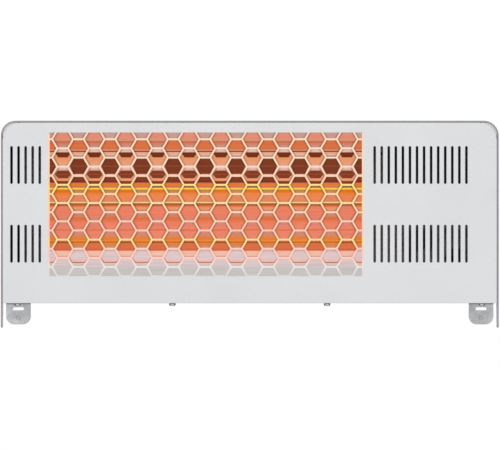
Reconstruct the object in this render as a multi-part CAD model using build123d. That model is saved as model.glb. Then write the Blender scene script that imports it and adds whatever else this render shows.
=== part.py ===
from build123d import *
from math import cos, pi, radians, sin, sqrt
import os

# Wall-mounted infrared heater that tilts between two wall brackets.
# X runs to the viewer's right, Y into the wall, Z up. The wall is the plane y = 0.
# The origin is midway between the slots of the two bracket tabs.

# Body
BODY_W = 600.0
BODY_H = 220.0
FASCIA_BOTTOM = 7.1
BODY_TOP = FASCIA_BOTTOM + BODY_H
FASCIA_FRONT = -122.0
HOOD_FRONT = -119.0
HOOD_BACK = -24.0
HOOD_SHEET = 2.0
HOOD_RADIUS = 18.0
CHEEK_DROP = 29.4
CHEEK_FOOT_BACK = -42.0
CHEEK_BACK_START = 24.0
CHEEK_CORNER = 10.0

# Fascia, with the window's margins to the left, right, lower and upper edges
FASCIA_SHEET = 1.5
FASCIA_GAP = 0.3
FASCIA_RADIUS = 22.5
FASCIA_FOLD = 14.0
FASCIA_BOTTOM_FOLD = 26.0
FASCIA_EDGE_BREAK = 0.7
LEFT_MARGIN = 57.0
RIGHT_MARGIN = 163.0
LOWER_MARGIN = 32.6
UPPER_MARGIN = 14.2
WINDOW_LEFT = -BODY_W / 2 + LEFT_MARGIN
WINDOW_RIGHT = BODY_W / 2 - RIGHT_MARGIN
WINDOW_LOW = FASCIA_BOTTOM + LOWER_MARGIN
WINDOW_HIGH = BODY_TOP - UPPER_MARGIN
WINDOW_LIP = 6.5
VENT_W = 2.5
VENT_L = 45.0
VENT_PITCH = 8.5
VENT_LEFT_EDGE = 13.0
VENT_LEFT_COUNT = 5
VENT_RIGHT_EDGE = 13.5
VENT_RIGHT_COUNT = 14
VENT_ROW_OFFSET = 47.4
FASCIA_SCREW_EDGE = 20.25
FASCIA_SCREW_COUNT = 4
FASCIA_SCREW_Y = -108.0
PAN_HEAD_D = 8.0
PAN_HEAD_H = 3.3
M4 = 4.0
M3 = 3.0
HOLE_CLEARANCE = 0.25
THREAD_FIT = 0.05

# Guard
GUARD_SHEET = 1.5
GUARD_PITCH = 22.0
GUARD_STRAND = 2.1
GUARD_LEFT = WINDOW_LEFT - 7.0
GUARD_RIGHT = WINDOW_RIGHT + 10.5
GUARD_LOW = WINDOW_LOW - 11.7
GUARD_HIGH = WINDOW_HIGH + 9.6
GUARD_EDGE_SHOWN = 1.8
GUARD_MARGIN_Z = 6.0
GUARD_FIRST_COLUMN = WINDOW_LEFT - 1.6
GUARD_FIRST_ROW = WINDOW_HIGH + 2.9
GUARD_SCREW_COUNT = 3
GUARD_SCREW_INSET = 12.0
RAIL_H = 6.0

# Stack between each cheek and the chassis: spacer, bracket arm, nut
SIDE_PLAY = 0.3
SPACER_T = 2.7
BRACKET_SHEET = 2.0
SIDE_NUT_T = 3.0
SIDE_NUT_GAP = 0.2
BRACKET_OUTER = BODY_W / 2 - HOOD_SHEET - SPACER_T - SIDE_PLAY

# Chassis tray and back panel
CHASSIS_SHEET = 1.5
CHASSIS_HALF_W = BRACKET_OUTER - BRACKET_SHEET - SIDE_PLAY - SIDE_NUT_T - SIDE_NUT_GAP
CHASSIS_FRONT = -119.0
CHASSIS_TOP_FRONT = -105.5
CHASSIS_WALL_FRONT = -100.0
CHASSIS_BACK = -27.5
CHASSIS_RIM = 12.0
CORNER_STEP_X = 9.5
CORNER_STEP_Z = 13.0
HOOD_SCREW_INSET = 70.0
HOOD_SCREW_Y = (-92.0, -42.0)
PANEL_SHEET = 1.5
PANEL_MARGIN = 2.0
PANEL_SLOT_L = 30.0
PANEL_SLOT_W = 3.0
PANEL_SLOT_PITCH = 9.0
PANEL_SLOT_COUNT = 8
PANEL_SLOT_INSET = 23.5
PANEL_SLOT_UPPER = 126.0
PANEL_SLOT_LOWER = 36.0
PANEL_SCREW_SIDE = 13.5
PANEL_SCREW_COUNT = 4
PANEL_SCREW_INSET = 7.5

# Reflector and lamp; the profile's corners are given from the lamp's axis height
REFLECTOR_SIDE_GAP = 3.0
REFLECTOR_LEFT = WINDOW_LEFT - REFLECTOR_SIDE_GAP
REFLECTOR_RIGHT = WINDOW_RIGHT + REFLECTOR_SIDE_GAP
REFLECTOR_SHEET = 0.8
LAMP_Y = -78.0
LAMP_ABOVE_MIDDLE = 10.8
LAMP_Z = (WINDOW_LOW + WINDOW_HIGH) / 2 + LAMP_ABOVE_MIDDLE
REFLECTOR_FRONT = -110.0
REFLECTOR_BACK = -44.0
REFLECTOR_PROFILE = (
    (REFLECTOR_FRONT, WINDOW_HIGH + 6.1),
    (-84.0, LAMP_Z + 64.9),
    (-52.0, LAMP_Z + 27.9),
    (REFLECTOR_BACK, LAMP_Z + 12.9),
    (REFLECTOR_BACK, LAMP_Z - 13.1),
    (-52.0, LAMP_Z - 29.1),
    (-68.0, LAMP_Z - 56.1),
    (-88.0, LAMP_Z - 87.1),
    (REFLECTOR_FRONT, WINDOW_LOW - 5.7),
)
END_SHEET = 1.2
END_FRONT = REFLECTOR_FRONT - 0.8
END_FLANGE = 12.0
END_RIVET_Y = (-96.0, -50.0)
LAMP_D = 18.5
LAMP_WALL = 1.2
LAMP_OVERHANG = 10.0
LAMP_LEFT = REFLECTOR_LEFT - LAMP_OVERHANG
LAMP_RIGHT = REFLECTOR_RIGHT + LAMP_OVERHANG
CAP_D = 24.0
CAP_L = 20.0
CAP_GRIP = 8.0
COIL_D = 9.0
COIL_WIRE_D = 1.2
COIL_END = 29.0
COIL_RINGS = 7
LAMP_HOLE_CLEARANCE = 1.0
HOLDER_STANDOFF = 6.0
HOLDER_SHEET = 1.2
HOLDER_HALF_H = 18.0
HOLDER_HALF_FOOT = 8.0
HOLDER_SIDE = 5.0
HOLDER_FOOT_H = 10.0
HOLDER_SCREW_Z = 23.5
POST_INSET = 63.0
POST_COUNT = 3
POST_D = 12.0
POST_NECK_D = 8.0
POST_HEAD_D = 5.5
POST_HEAD_H = 1.0
SHIELD_Y = REFLECTOR_BACK + 8.0
SHIELD_SHEET = 0.8
SHIELD_LOW = LAMP_Z - 75.1
SHIELD_HIGH = LAMP_Z + 70.9
SHIELD_SIDE = 2.0

# Wall brackets
BRACKET_W = 30.0
BRACKET_LOW = FASCIA_BOTTOM - 26.1
BRACKET_HIGH = 78.0
BRACKET_FOOT_ROUND = 10.0
WALL_SLOT_L = 13.3
WALL_SLOT_W = 3.6
WALL_HOLE_D = 5.5
WALL_HOLE_Z = 58.0
DIMPLE_D = 5.6
DIMPLE_RING = 1.1
DIMPLE_DEPTH = 1.0
DIMPLE_Z = FASCIA_BOTTOM - 17.7
ARM_LOW = 14.0
ARM_FRONT = -70.0
PIVOT_Y = -47.0
PIVOT_Z = 34.0
PIVOT_D = 6.0
PIVOT_FIT = 0.06
LOCK_RADIUS = 26.0
LOCK_D = 5.0
LOCK_SLOT_GAP = 0.35
TILT_RANGE = 30.0

# Fittings in the right compartment, placed from the body's right side
BOARD_X = BODY_W / 2 - 88.0
BOARD_Z = BODY_TOP - 65.1
BOARD_W = 96.0
BOARD_H = 74.0
BOARD_T = 1.6
BOARD_STANDOFF = 12.0
BOARD_HOLE_INSET = 5.0
RELAY_W = 28.0
RELAY_H = 13.0
RELAY_DEPTH = 20.0
SINK_W = 40.0
SINK_DEPTH = 28.0
SINK_BASE = 3.0
SINK_FIN_H = 12.0
SINK_FIN_T = 2.0
SINK_FINS = 6
SINK_UP = 12.0
BLOCK_X = BODY_W / 2 - 95.0
BLOCK_BELOW_BOARD = 78.0
BLOCK_Z = BOARD_Z - BLOCK_BELOW_BOARD
BLOCK_POLES = 3
BLOCK_PITCH = 12.0
GLAND_X = BODY_W / 2 - 52.0
GLAND_Z = 62.0
GLAND_HOLE_D = 16.0
EARTH_X = BODY_W / 2 - 128.0
EARTH_Y = -62.0
CUTOUT_Y = -58.0
CUTOUT_Z = LAMP_Z + 50.9
WIRE_D = 3.2
LEAD_Y = -38.0
LEAD_Z = 26.0
LEAD_HOLE_D = 10.0
LEAD_RIM_D = 13.0
LEAD_RIM_T = 1.5


def block(x0, x1, y0, y1, z0, z1):
    """Box between two corners."""
    size = Box(x1 - x0, y1 - y0, z1 - z0)
    return Pos((x0 + x1) / 2, (y0 + y1) / 2, (z0 + z1) / 2) * size


def rod_x(d, x0, x1, y, z):
    """Round bar along X."""
    return Pos((x0 + x1) / 2, y, z) * Rot(0, 90, 0) * Cylinder(d / 2, x1 - x0)


def rod_y(d, y0, y1, x, z):
    """Round bar along Y."""
    return Pos(x, (y0 + y1) / 2, z) * Rot(90, 0, 0) * Cylinder(d / 2, y1 - y0)


def rod_z(d, z0, z1, x, y):
    """Round bar along Z."""
    return Pos(x, y, (z0 + z1) / 2) * Cylinder(d / 2, z1 - z0)


def hex_nut(across, thick, bore_d):
    """Hexagon nut standing on z = 0."""
    nut = extrude(RegularPolygon(across / 2, 6, major_radius=False), thick)
    return nut - Pos(0, 0, thick / 2) * Cylinder(bore_d / 2, thick * 2)


def pan_screw(head_d, head_h, shank_d, length):
    """Pan-head screw: the head rises from z = 0, the shank goes down."""
    rim = head_h * 0.6
    head = Pos(0, 0, rim / 2) * Cylinder(head_d / 2, rim)
    crown = head_h - rim
    head += Pos(0, 0, rim + crown / 2) * Cone(head_d / 2, head_d / 2 - crown, crown)
    socket = Pos(0, 0, head_h) * extrude(RegularPolygon(shank_d * 0.33, 6), -head_h * 0.5)
    shank = Pos(0, 0, -length / 2) * Cylinder(shank_d / 2, length)
    return head - socket + shank


def hex_screw(across, head_h, shank_d, length):
    """Hexagon-head screw: the head rises from z = 0, the shank goes down."""
    head = extrude(RegularPolygon(across / 2, 6, major_radius=False), head_h)
    return head + Pos(0, 0, -length / 2) * Cylinder(shank_d / 2, length)


def flush_screw(head_d, head_h, shank_d, length):
    """Countersunk screw: flat top at z = 0, everything else below."""
    cone = Pos(0, 0, -head_h / 2) * Cone(shank_d / 2, head_d / 2, head_h)
    shank = Pos(0, 0, -length / 2) * Cylinder(shank_d / 2, length)
    socket = extrude(RegularPolygon(shank_d * 0.3, 6), -head_h * 0.7)
    return cone + shank - socket


def rear_facing(shape, x, y, z):
    """Turns a piece whose axis is +Z so that it looks toward the wall."""
    return Pos(x, y, z) * Rot(-90, 0, 0) * shape


def outward(shape, side, x, y, z):
    """Turns a piece whose axis is +Z so that it looks away from the middle."""
    return Pos(side * x, y, z) * Rot(0, 90 * side, 0) * shape


def wire(points, radius=8.0, d=WIRE_D):
    """Round lead along a bent line."""
    path = FilletPolyline(*points, radius=radius)
    return sweep(Plane(path @ 0, z_dir=path % 0) * Circle(d / 2), path=path)


def spread(first, last, count):
    """Even places from the first to the last."""
    return [first + (last - first) * i / (count - 1) for i in range(count)]


def hood_shape():
    """Folded hood: top, two sides and the cheeks that reach below the fascia."""
    low = FASCIA_BOTTOM - CHEEK_DROP
    half = BODY_W / 2
    outer = block(-half, half, HOOD_FRONT, HOOD_BACK, low, BODY_TOP)
    outer = fillet(outer.edges().filter_by(Axis.Y).group_by(Axis.Z)[-1], HOOD_RADIUS)
    t = HOOD_SHEET
    inner = block(-half + t, half - t, HOOD_FRONT - 1, HOOD_BACK + 1, low - 5, BODY_TOP - t)
    inner = fillet(inner.edges().filter_by(Axis.Y).group_by(Axis.Z)[-1], HOOD_RADIUS - t)
    hood = outer - inner
    side = Polyline(
        (HOOD_FRONT, low),
        (CHEEK_FOOT_BACK, low),
        (HOOD_BACK, CHEEK_BACK_START),
        (HOOD_BACK, BODY_TOP + 1),
        (HOOD_FRONT, BODY_TOP + 1),
        close=True,
    )
    face = make_face(Plane.YZ * side)
    blank = Pos(-half - 1, 0, 0) * extrude(face, BODY_W + 2, dir=(1, 0, 0))
    foot = blank.edges().filter_by(Axis.X).group_by(Axis.Z)[0]
    blank = fillet(foot, CHEEK_CORNER)
    hood = hood & blank
    for side in (-1, 1):
        hood -= side_bore(side, PIVOT_Y, PIVOT_Z, PIVOT_D, PIVOT_D * 1.7)
        hood -= side_bore(side, PIVOT_Y, PIVOT_Z + LOCK_RADIUS, LOCK_D, LOCK_D * 1.8)
    for x, y in hood_screw_places():
        hood -= Pos(x, y, BODY_TOP) * sunk_bore(M4, M4 * 2, HOOD_SHEET)
    return hood


def sunk_bore(shank_d, head_d, sheet):
    """Hole with a cone for a flush screw, below z = 0."""
    clear = THREAD_FIT * 2
    cone = Pos(0, 0, -sheet / 2) * Cone(shank_d / 2 + clear, head_d / 2 + clear, sheet)
    return cone + Cylinder(shank_d / 2 + clear, sheet * 4)


def side_bore(side, y, z, shank_d, head_d):
    """Flush-screw hole in a cheek."""
    return outward(sunk_bore(shank_d, head_d, HOOD_SHEET), side, BODY_W / 2, y, z)


def hood_screw_places():
    """Two rows of flush screws that tie the hood to the chassis."""
    x = BODY_W / 2 - HOOD_SCREW_INSET
    return [(side * x, y) for side in (-1, 1) for y in HOOD_SCREW_Y]


def fascia_shape():
    """Front pan with window, vent slots and folded edges."""
    inset = HOOD_SHEET + FASCIA_GAP
    half = BODY_W / 2 - inset
    top = BODY_TOP - inset
    t = FASCIA_SHEET
    back = FASCIA_FRONT + FASCIA_FOLD
    pan = block(-half, half, FASCIA_FRONT, back, FASCIA_BOTTOM, top)
    pan = fillet(pan.edges().filter_by(Axis.Y).group_by(Axis.Z)[-1], FASCIA_RADIUS)
    pan = chamfer(pan.faces().sort_by(Axis.Y)[0].edges(), FASCIA_EDGE_BREAK)
    room = block(-half + t, half - t, FASCIA_FRONT + t, back + 1, FASCIA_BOTTOM + t, top - t)
    room = fillet(room.edges().filter_by(Axis.Y).group_by(Axis.Z)[-1], FASCIA_RADIUS - t)
    pan -= room
    fold_back = FASCIA_FRONT + FASCIA_BOTTOM_FOLD
    fold_half = CHASSIS_HALF_W
    pan += block(-fold_half, fold_half, back - 1, fold_back, FASCIA_BOTTOM, FASCIA_BOTTOM + t)
    lip_back = FASCIA_FRONT + t + WINDOW_LIP
    pan += block(WINDOW_LEFT - t, WINDOW_LEFT, FASCIA_FRONT + t, lip_back, WINDOW_LOW, WINDOW_HIGH)
    pan += block(WINDOW_RIGHT, WINDOW_RIGHT + t, FASCIA_FRONT + t, lip_back, WINDOW_LOW, WINDOW_HIGH)
    pan -= block(
        WINDOW_LEFT, WINDOW_RIGHT, FASCIA_FRONT - 1, FASCIA_FRONT + t + 1, WINDOW_LOW, WINDOW_HIGH
    )
    for x, z in vent_places():
        pan -= vent_cut(x, z)
    for x in fascia_screw_places():
        pan -= rod_z(M4 + 2 * HOLE_CLEARANCE, FASCIA_BOTTOM - 1, FASCIA_BOTTOM + t + 1, x, FASCIA_SCREW_Y)
    return pan


def vent_places():
    """Centres of all vent slots."""
    middle = (WINDOW_LOW + WINDOW_HIGH) / 2
    left = [-BODY_W / 2 + VENT_LEFT_EDGE + VENT_PITCH * i for i in range(VENT_LEFT_COUNT)]
    right = [WINDOW_RIGHT + VENT_RIGHT_EDGE + VENT_PITCH * i for i in range(VENT_RIGHT_COUNT)]
    return [(x, middle + s * VENT_ROW_OFFSET) for x in left + right for s in (-1, 1)]


def vent_cut(x, z):
    """Upright slot with round ends through the fascia."""
    slot = Plane.XZ * SlotOverall(VENT_L, VENT_W, rotation=90)
    return Pos(x, FASCIA_FRONT + FASCIA_SHEET / 2, z) * extrude(slot, FASCIA_SHEET, both=True)


def fascia_screw_places():
    """X places of the screws along the bottom edge."""
    return spread(-BODY_W / 2 + FASCIA_SCREW_EDGE, BODY_W / 2 - FASCIA_SCREW_EDGE, FASCIA_SCREW_COUNT)


def fascia_screws_shape():
    """Pan-head screws driven up through the bottom fold."""
    screw = Rot(180, 0, 0) * pan_screw(PAN_HEAD_D, PAN_HEAD_H, M4, 9.0)
    places = [Pos(x, FASCIA_SCREW_Y, FASCIA_BOTTOM) * screw for x in fascia_screw_places()]
    return Compound(children=places)


def fascia_nuts_shape():
    """Clinch nuts on the chassis floor that take the fascia screws."""
    floor = FASCIA_BOTTOM + FASCIA_SHEET + CHASSIS_SHEET
    nut = hex_nut(7.0, 3.2, M4 + 2 * THREAD_FIT)
    places = [Pos(x, FASCIA_SCREW_Y, floor) * nut for x in fascia_screw_places()]
    return Compound(children=places)


def guard_holes():
    """Hexagon openings of the guard, as one flat sketch in X and Z."""
    across = GUARD_PITCH - GUARD_STRAND
    corner = across / sqrt(3)
    edge = across / 2
    x0 = WINDOW_LEFT + GUARD_EDGE_SHOWN
    x1 = WINDOW_RIGHT - GUARD_EDGE_SHOWN
    z0 = GUARD_LOW + GUARD_MARGIN_Z
    z1 = GUARD_HIGH - GUARD_MARGIN_Z
    step = GUARD_PITCH * sqrt(3) / 2
    places = []
    for i in range(int((x1 + corner - GUARD_FIRST_COLUMN) / step) + 1):
        top = GUARD_FIRST_ROW - GUARD_PITCH / 2 * (i % 2)
        for j in range(int((top + edge - WINDOW_LOW) / GUARD_PITCH) + 1):
            places.append((GUARD_FIRST_COLUMN + step * i, top - GUARD_PITCH * j))
    holes = []
    for x, z in places:
        ring = []
        for k in range(6):
            ring.append((x + corner * cos(k * pi / 3), z + corner * sin(k * pi / 3)))
        inside = x - corner >= x0 and x + corner <= x1 and z - edge >= z0 and z + edge <= z1
        face = make_face(Polyline(*ring, close=True))
        if not inside:
            limit = Pos((x0 + x1) / 2, (z0 + z1) / 2) * Rectangle(x1 - x0, z1 - z0)
            face = face & limit
        holes += list(face.faces())
    return holes


def guard_shape():
    """Punched hexagon guard behind the window."""
    front = FASCIA_FRONT + FASCIA_SHEET + WINDOW_LIP
    outline = Polyline(
        (GUARD_LEFT, GUARD_LOW),
        (GUARD_RIGHT, GUARD_LOW),
        (GUARD_RIGHT, GUARD_HIGH),
        (GUARD_LEFT, GUARD_HIGH),
        close=True,
    )
    inner = [hole.outer_wire() for hole in guard_holes()]
    sheet = Face(make_face(outline).face().outer_wire(), inner)
    flat = extrude(sheet, GUARD_SHEET)
    guard = Pos(0, front + GUARD_SHEET, 0) * Rot(90, 0, 0) * flat
    for x, z in guard_screw_places():
        guard -= rod_y(M3 + 2 * HOLE_CLEARANCE, front - 1, front + GUARD_SHEET + 1, x, z)
    return guard


def guard_screw_places():
    """Screws in the guard's top and bottom margins."""
    xs = spread(GUARD_LEFT + GUARD_SCREW_INSET, GUARD_RIGHT - GUARD_SCREW_INSET, GUARD_SCREW_COUNT)
    return [(x, z) for x in xs for z in (GUARD_LOW + RAIL_H / 2, GUARD_HIGH - RAIL_H / 2)]


def guard_rail_shape(low, high):
    """Spacer bar between the fascia and the guard."""
    front = FASCIA_FRONT + FASCIA_SHEET
    back = front + WINDOW_LIP
    rail = block(GUARD_LEFT, GUARD_RIGHT, front, back, low, high)
    for x, z in guard_screw_places():
        if low < z < high:
            rail -= rod_y(M3 + 2 * THREAD_FIT, back - 5.5, back + 1, x, z)
    return rail


def guard_screws_shape():
    """Small screws that clamp the guard on its rails."""
    seat = FASCIA_FRONT + FASCIA_SHEET + WINDOW_LIP + GUARD_SHEET
    screw = hex_screw(5.0, 1.3, M3, GUARD_SHEET + 5.0)
    return Compound(children=[rear_facing(screw, x, seat, z) for x, z in guard_screw_places()])


def chassis_shape():
    """Tray behind the fascia: floor, sides, roof and a rim at the back."""
    t = CHASSIS_SHEET
    half = CHASSIS_HALF_W
    low = FASCIA_BOTTOM + FASCIA_SHEET
    high = BODY_TOP - HOOD_SHEET
    shoulder_x = half - CORNER_STEP_X
    shoulder_z = high - CORNER_STEP_Z
    tray = block(-half, half, CHASSIS_FRONT, CHASSIS_BACK, low, low + t)
    tray += block(-shoulder_x, shoulder_x, CHASSIS_TOP_FRONT, CHASSIS_BACK, high - t, high)
    wall = block(half - t, half, CHASSIS_WALL_FRONT, CHASSIS_BACK, low, shoulder_z)
    wall += block(shoulder_x - t, shoulder_x, CHASSIS_TOP_FRONT, CHASSIS_BACK, shoulder_z - t, high)
    wall += block(shoulder_x - t, half, CHASSIS_TOP_FRONT, CHASSIS_BACK, shoulder_z - t, shoulder_z)
    tray += wall + mirror(wall, Plane.YZ)
    rim = block(-half, half, CHASSIS_BACK - t, CHASSIS_BACK, low, shoulder_z)
    rim += block(-shoulder_x, shoulder_x, CHASSIS_BACK - t, CHASSIS_BACK, shoulder_z - t, high)
    hole = block(
        -half + t + CHASSIS_RIM,
        half - t - CHASSIS_RIM,
        CHASSIS_BACK - t - 1,
        CHASSIS_BACK + 1,
        low + t + CHASSIS_RIM,
        shoulder_z - CHASSIS_RIM,
    )
    tray += rim - hole
    for x in fascia_screw_places():
        tray -= rod_z(M4 + 2 * HOLE_CLEARANCE, low - 1, low + t + 1, x, FASCIA_SCREW_Y)
    for x, y in hood_screw_places():
        tray -= rod_z(M4 + 2 * THREAD_FIT, high - t - 1, high + 1, x, y)
    for x, z in panel_screw_places():
        tray -= rod_y(M4 + 2 * THREAD_FIT, CHASSIS_BACK - t - 1, CHASSIS_BACK + 1, x, z)
    for x, y in rivet_places():
        tray -= rod_z(M3 + 2 * THREAD_FIT, low - 1, low + t + 1, x, y)
        tray -= rod_z(M3 + 2 * THREAD_FIT, high - t - 1, high + 1, x, y)
    tray -= rod_z(M4 + 2 * THREAD_FIT, low - 1, low + t + 1, EARTH_X, EARTH_Y)
    return tray


def hood_screws_shape():
    """Flush screws through the hood into the chassis roof."""
    screw = flush_screw(M4 * 2, HOOD_SHEET - 0.1, M4, 7.0)
    return Compound(children=[Pos(x, y, BODY_TOP) * screw for x, y in hood_screw_places()])


def panel_low():
    return FASCIA_BOTTOM + FASCIA_SHEET + PANEL_MARGIN


def panel_high():
    return BODY_TOP - HOOD_SHEET - CORNER_STEP_Z - PANEL_MARGIN


def panel_screw_places():
    """Screws along the top and bottom edges of the back panel."""
    low = panel_low() + PANEL_SCREW_INSET - PANEL_MARGIN
    high = panel_high() - PANEL_SCREW_INSET + PANEL_MARGIN
    side = CHASSIS_HALF_W - PANEL_SCREW_SIDE
    return [(x, z) for x in spread(-side, side, PANEL_SCREW_COUNT) for z in (low, high)]


def panel_slot_places():
    """Three rows of cooling slots, clear of the slots in the front."""
    left = -CHASSIS_HALF_W + PANEL_SLOT_INSET
    right = BOARD_X - PANEL_SLOT_PITCH * (PANEL_SLOT_COUNT - 1) / 2
    rows = ((left, PANEL_SLOT_UPPER), (left, PANEL_SLOT_LOWER), (right, PANEL_SLOT_UPPER))
    return [(x + PANEL_SLOT_PITCH * i, z) for x, z in rows for i in range(PANEL_SLOT_COUNT)]


def back_panel_shape():
    """Flat rear cover with cooling slots and the cable inlet."""
    half = CHASSIS_HALF_W - PANEL_MARGIN
    back = CHASSIS_BACK + PANEL_SHEET
    panel = block(-half, half, CHASSIS_BACK, back, panel_low(), panel_high())
    panel = fillet(panel.edges().filter_by(Axis.Y), 4.0)
    cut = Box(PANEL_SLOT_W, PANEL_SHEET * 2, PANEL_SLOT_L)
    middle = CHASSIS_BACK + PANEL_SHEET / 2
    for x, z in panel_slot_places():
        panel -= Pos(x, middle, z) * cut
    for x, z in panel_screw_places():
        panel -= rod_y(M4 + 2 * HOLE_CLEARANCE, CHASSIS_BACK - 1, back + 1, x, z)
    panel -= rod_y(GLAND_HOLE_D, CHASSIS_BACK - 1, back + 1, GLAND_X, GLAND_Z)
    for x, z in board_hole_places():
        panel -= rod_y(M3 + 2 * HOLE_CLEARANCE, CHASSIS_BACK - 1, back + 1, x, z)
    return panel


def back_panel_screws_shape():
    """Hexagon-head screws of the back panel."""
    seat = CHASSIS_BACK + PANEL_SHEET
    screw = hex_screw(7.0, 1.8, M4, PANEL_SHEET + 5.0)
    return Compound(children=[rear_facing(screw, x, seat, z) for x, z in panel_screw_places()])


def reflector_shape():
    """Trough of flat facets folded from thin polished sheet."""
    front = [(y, z) for y, z in REFLECTOR_PROFILE]
    line = Polyline(*front)
    back = offset_line(front, REFLECTOR_SHEET)
    face = make_face(Plane.YZ * Polyline(*front, *reversed(back), close=True))
    length = REFLECTOR_RIGHT - REFLECTOR_LEFT
    trough = Pos(REFLECTOR_LEFT, 0, 0) * extrude(face, length, dir=(1, 0, 0))
    for x in post_places():
        trough -= rod_y(M3 + 2 * HOLE_CLEARANCE, REFLECTOR_BACK - 2, REFLECTOR_BACK + 2, x, LAMP_Z)
    return trough


def post_places():
    """X places of the posts behind the reflector."""
    return spread(REFLECTOR_LEFT + POST_INSET, REFLECTOR_RIGHT - POST_INSET, POST_COUNT)


def offset_line(points, t):
    """The same open line moved by t toward the wall side, with mitred corners."""
    normals = []
    for (y0, z0), (y1, z1) in zip(points, points[1:]):
        length = sqrt((y1 - y0) ** 2 + (z1 - z0) ** 2)
        normals.append((-(z1 - z0) / length, (y1 - y0) / length))
    moved = []
    for i, (y, z) in enumerate(points):
        a = normals[max(i - 1, 0)]
        b = normals[min(i, len(normals) - 1)]
        k = t / (1 + a[0] * b[0] + a[1] * b[1])
        moved.append((y + (a[0] + b[0]) * k, z + (a[1] + b[1]) * k))
    return moved


def end_plate_shape(side):
    """Plate that closes one end of the reflector and divides off the side room."""
    low = FASCIA_BOTTOM + FASCIA_SHEET + CHASSIS_SHEET
    high = BODY_TOP - HOOD_SHEET - CHASSIS_SHEET
    back = CHASSIS_BACK - CHASSIS_SHEET - 0.5
    inner = REFLECTOR_RIGHT if side > 0 else -REFLECTOR_LEFT
    outer = inner + END_SHEET
    plate = block(inner, outer, END_FRONT, back, low, high)
    plate -= block(inner - 1, outer + 1, END_FRONT - 1, CHASSIS_TOP_FRONT, high - 0.5, high + 1)
    t = END_SHEET
    plate += block(inner, outer + END_FLANGE, END_FRONT, back, low, low + t)
    plate += block(inner, outer + END_FLANGE, CHASSIS_TOP_FRONT + 0.5, back, high - t, high)
    hole = CAP_D + 2 * LAMP_HOLE_CLEARANCE
    plate -= rod_x(hole, inner - 1, outer + 1, LAMP_Y, LAMP_Z)
    plate -= rod_x(LEAD_HOLE_D, inner - 1, outer + 1, LEAD_Y, LEAD_Z)
    for y in END_RIVET_Y:
        x = outer + END_FLANGE / 2
        plate -= rod_z(M3 + 2 * THREAD_FIT, low - 1, low + t + 1, x, y)
        plate -= rod_z(M3 + 2 * THREAD_FIT, high - t - 1, high + 1, x, y)
    return plate if side > 0 else mirror(plate, Plane.YZ)


def rivet_places():
    """X and Y places of the rivets in the end plates' flanges."""
    right = REFLECTOR_RIGHT + END_SHEET + END_FLANGE / 2
    left = REFLECTOR_LEFT - END_SHEET - END_FLANGE / 2
    return [(x, y) for x in (left, right) for y in END_RIVET_Y]


def end_plate_rivets_shape():
    """Rivets that hold the end plates to the chassis floor and roof."""
    low = FASCIA_BOTTOM + FASCIA_SHEET
    high = BODY_TOP - HOOD_SHEET
    grip = CHASSIS_SHEET + END_SHEET
    rivets = []
    for x, y in rivet_places():
        bottom = rod_z(M3, low, low + grip, x, y)
        rivets.append(bottom + rod_z(5.5, low + grip, low + grip + 1.2, x, y))
        top = rod_z(M3, high - grip, high, x, y)
        rivets.append(top + rod_z(5.5, high - grip - 1.2, high - grip, x, y))
    return Compound(children=rivets)


def reflector_posts_shape():
    """Shouldered posts that carry the heat shield and the reflector."""
    seat = REFLECTOR_BACK + REFLECTOR_SHEET
    posts = []
    for x in post_places():
        post = rod_y(POST_D, SHIELD_Y + SHIELD_SHEET, CHASSIS_BACK, x, LAMP_Z)
        post += rod_y(POST_NECK_D, seat, SHIELD_Y + SHIELD_SHEET, x, LAMP_Z)
        head = seat - REFLECTOR_SHEET
        post += rod_y(M3, head, seat, x, LAMP_Z)
        post += rod_y(POST_HEAD_D, head - POST_HEAD_H, head, x, LAMP_Z)
        posts.append(post)
    return Compound(children=posts)


def heat_shield_shape():
    """Flat plate between the reflector and the back panel."""
    y0 = SHIELD_Y
    y1 = SHIELD_Y + SHIELD_SHEET
    left = REFLECTOR_LEFT + SHIELD_SIDE
    right = REFLECTOR_RIGHT - SHIELD_SIDE
    plate = block(left, right, y0, y1, SHIELD_LOW, SHIELD_HIGH)
    for x in post_places():
        plate -= rod_y(POST_NECK_D + 2 * THREAD_FIT, y0 - 1, y1 + 1, x, LAMP_Z)
    return plate


def lamp_tube_shape():
    """Open quartz tube of the lamp."""
    tube = rod_x(LAMP_D, LAMP_LEFT, LAMP_RIGHT, LAMP_Y, LAMP_Z)
    return tube - rod_x(LAMP_D - 2 * LAMP_WALL, LAMP_LEFT - 1, LAMP_RIGHT + 1, LAMP_Y, LAMP_Z)


def lamp_element_shape():
    """Filament on a straight rod with spaced support rings."""
    rod = rod_x(COIL_D * 0.45, LAMP_LEFT, LAMP_RIGHT, LAMP_Y, LAMP_Z)
    for x in spread(LAMP_LEFT + COIL_END, LAMP_RIGHT - COIL_END, COIL_RINGS):
        rod += rod_x(COIL_D, x - COIL_WIRE_D, x + COIL_WIRE_D, LAMP_Y, LAMP_Z)
    return rod


def lamp_caps_shape():
    """Ceramic caps on both ends of the tube."""
    caps = []
    for side, end in ((-1, LAMP_LEFT), (1, LAMP_RIGHT)):
        x0 = end - side * CAP_GRIP
        x1 = end + side * (CAP_L - CAP_GRIP)
        cap = rod_x(CAP_D, min(x0, x1), max(x0, x1), LAMP_Y, LAMP_Z)
        bore = rod_x(LAMP_D + 2 * THREAD_FIT, min(x0 - side, end), max(x0 - side, end), LAMP_Y, LAMP_Z)
        lead = rod_x(WIRE_D + 0.2, min(end - side, x1 + side), max(end - side, x1 + side), LAMP_Y, LAMP_Z)
        caps.append(cap - bore - lead)
    return Compound(children=caps)


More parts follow.
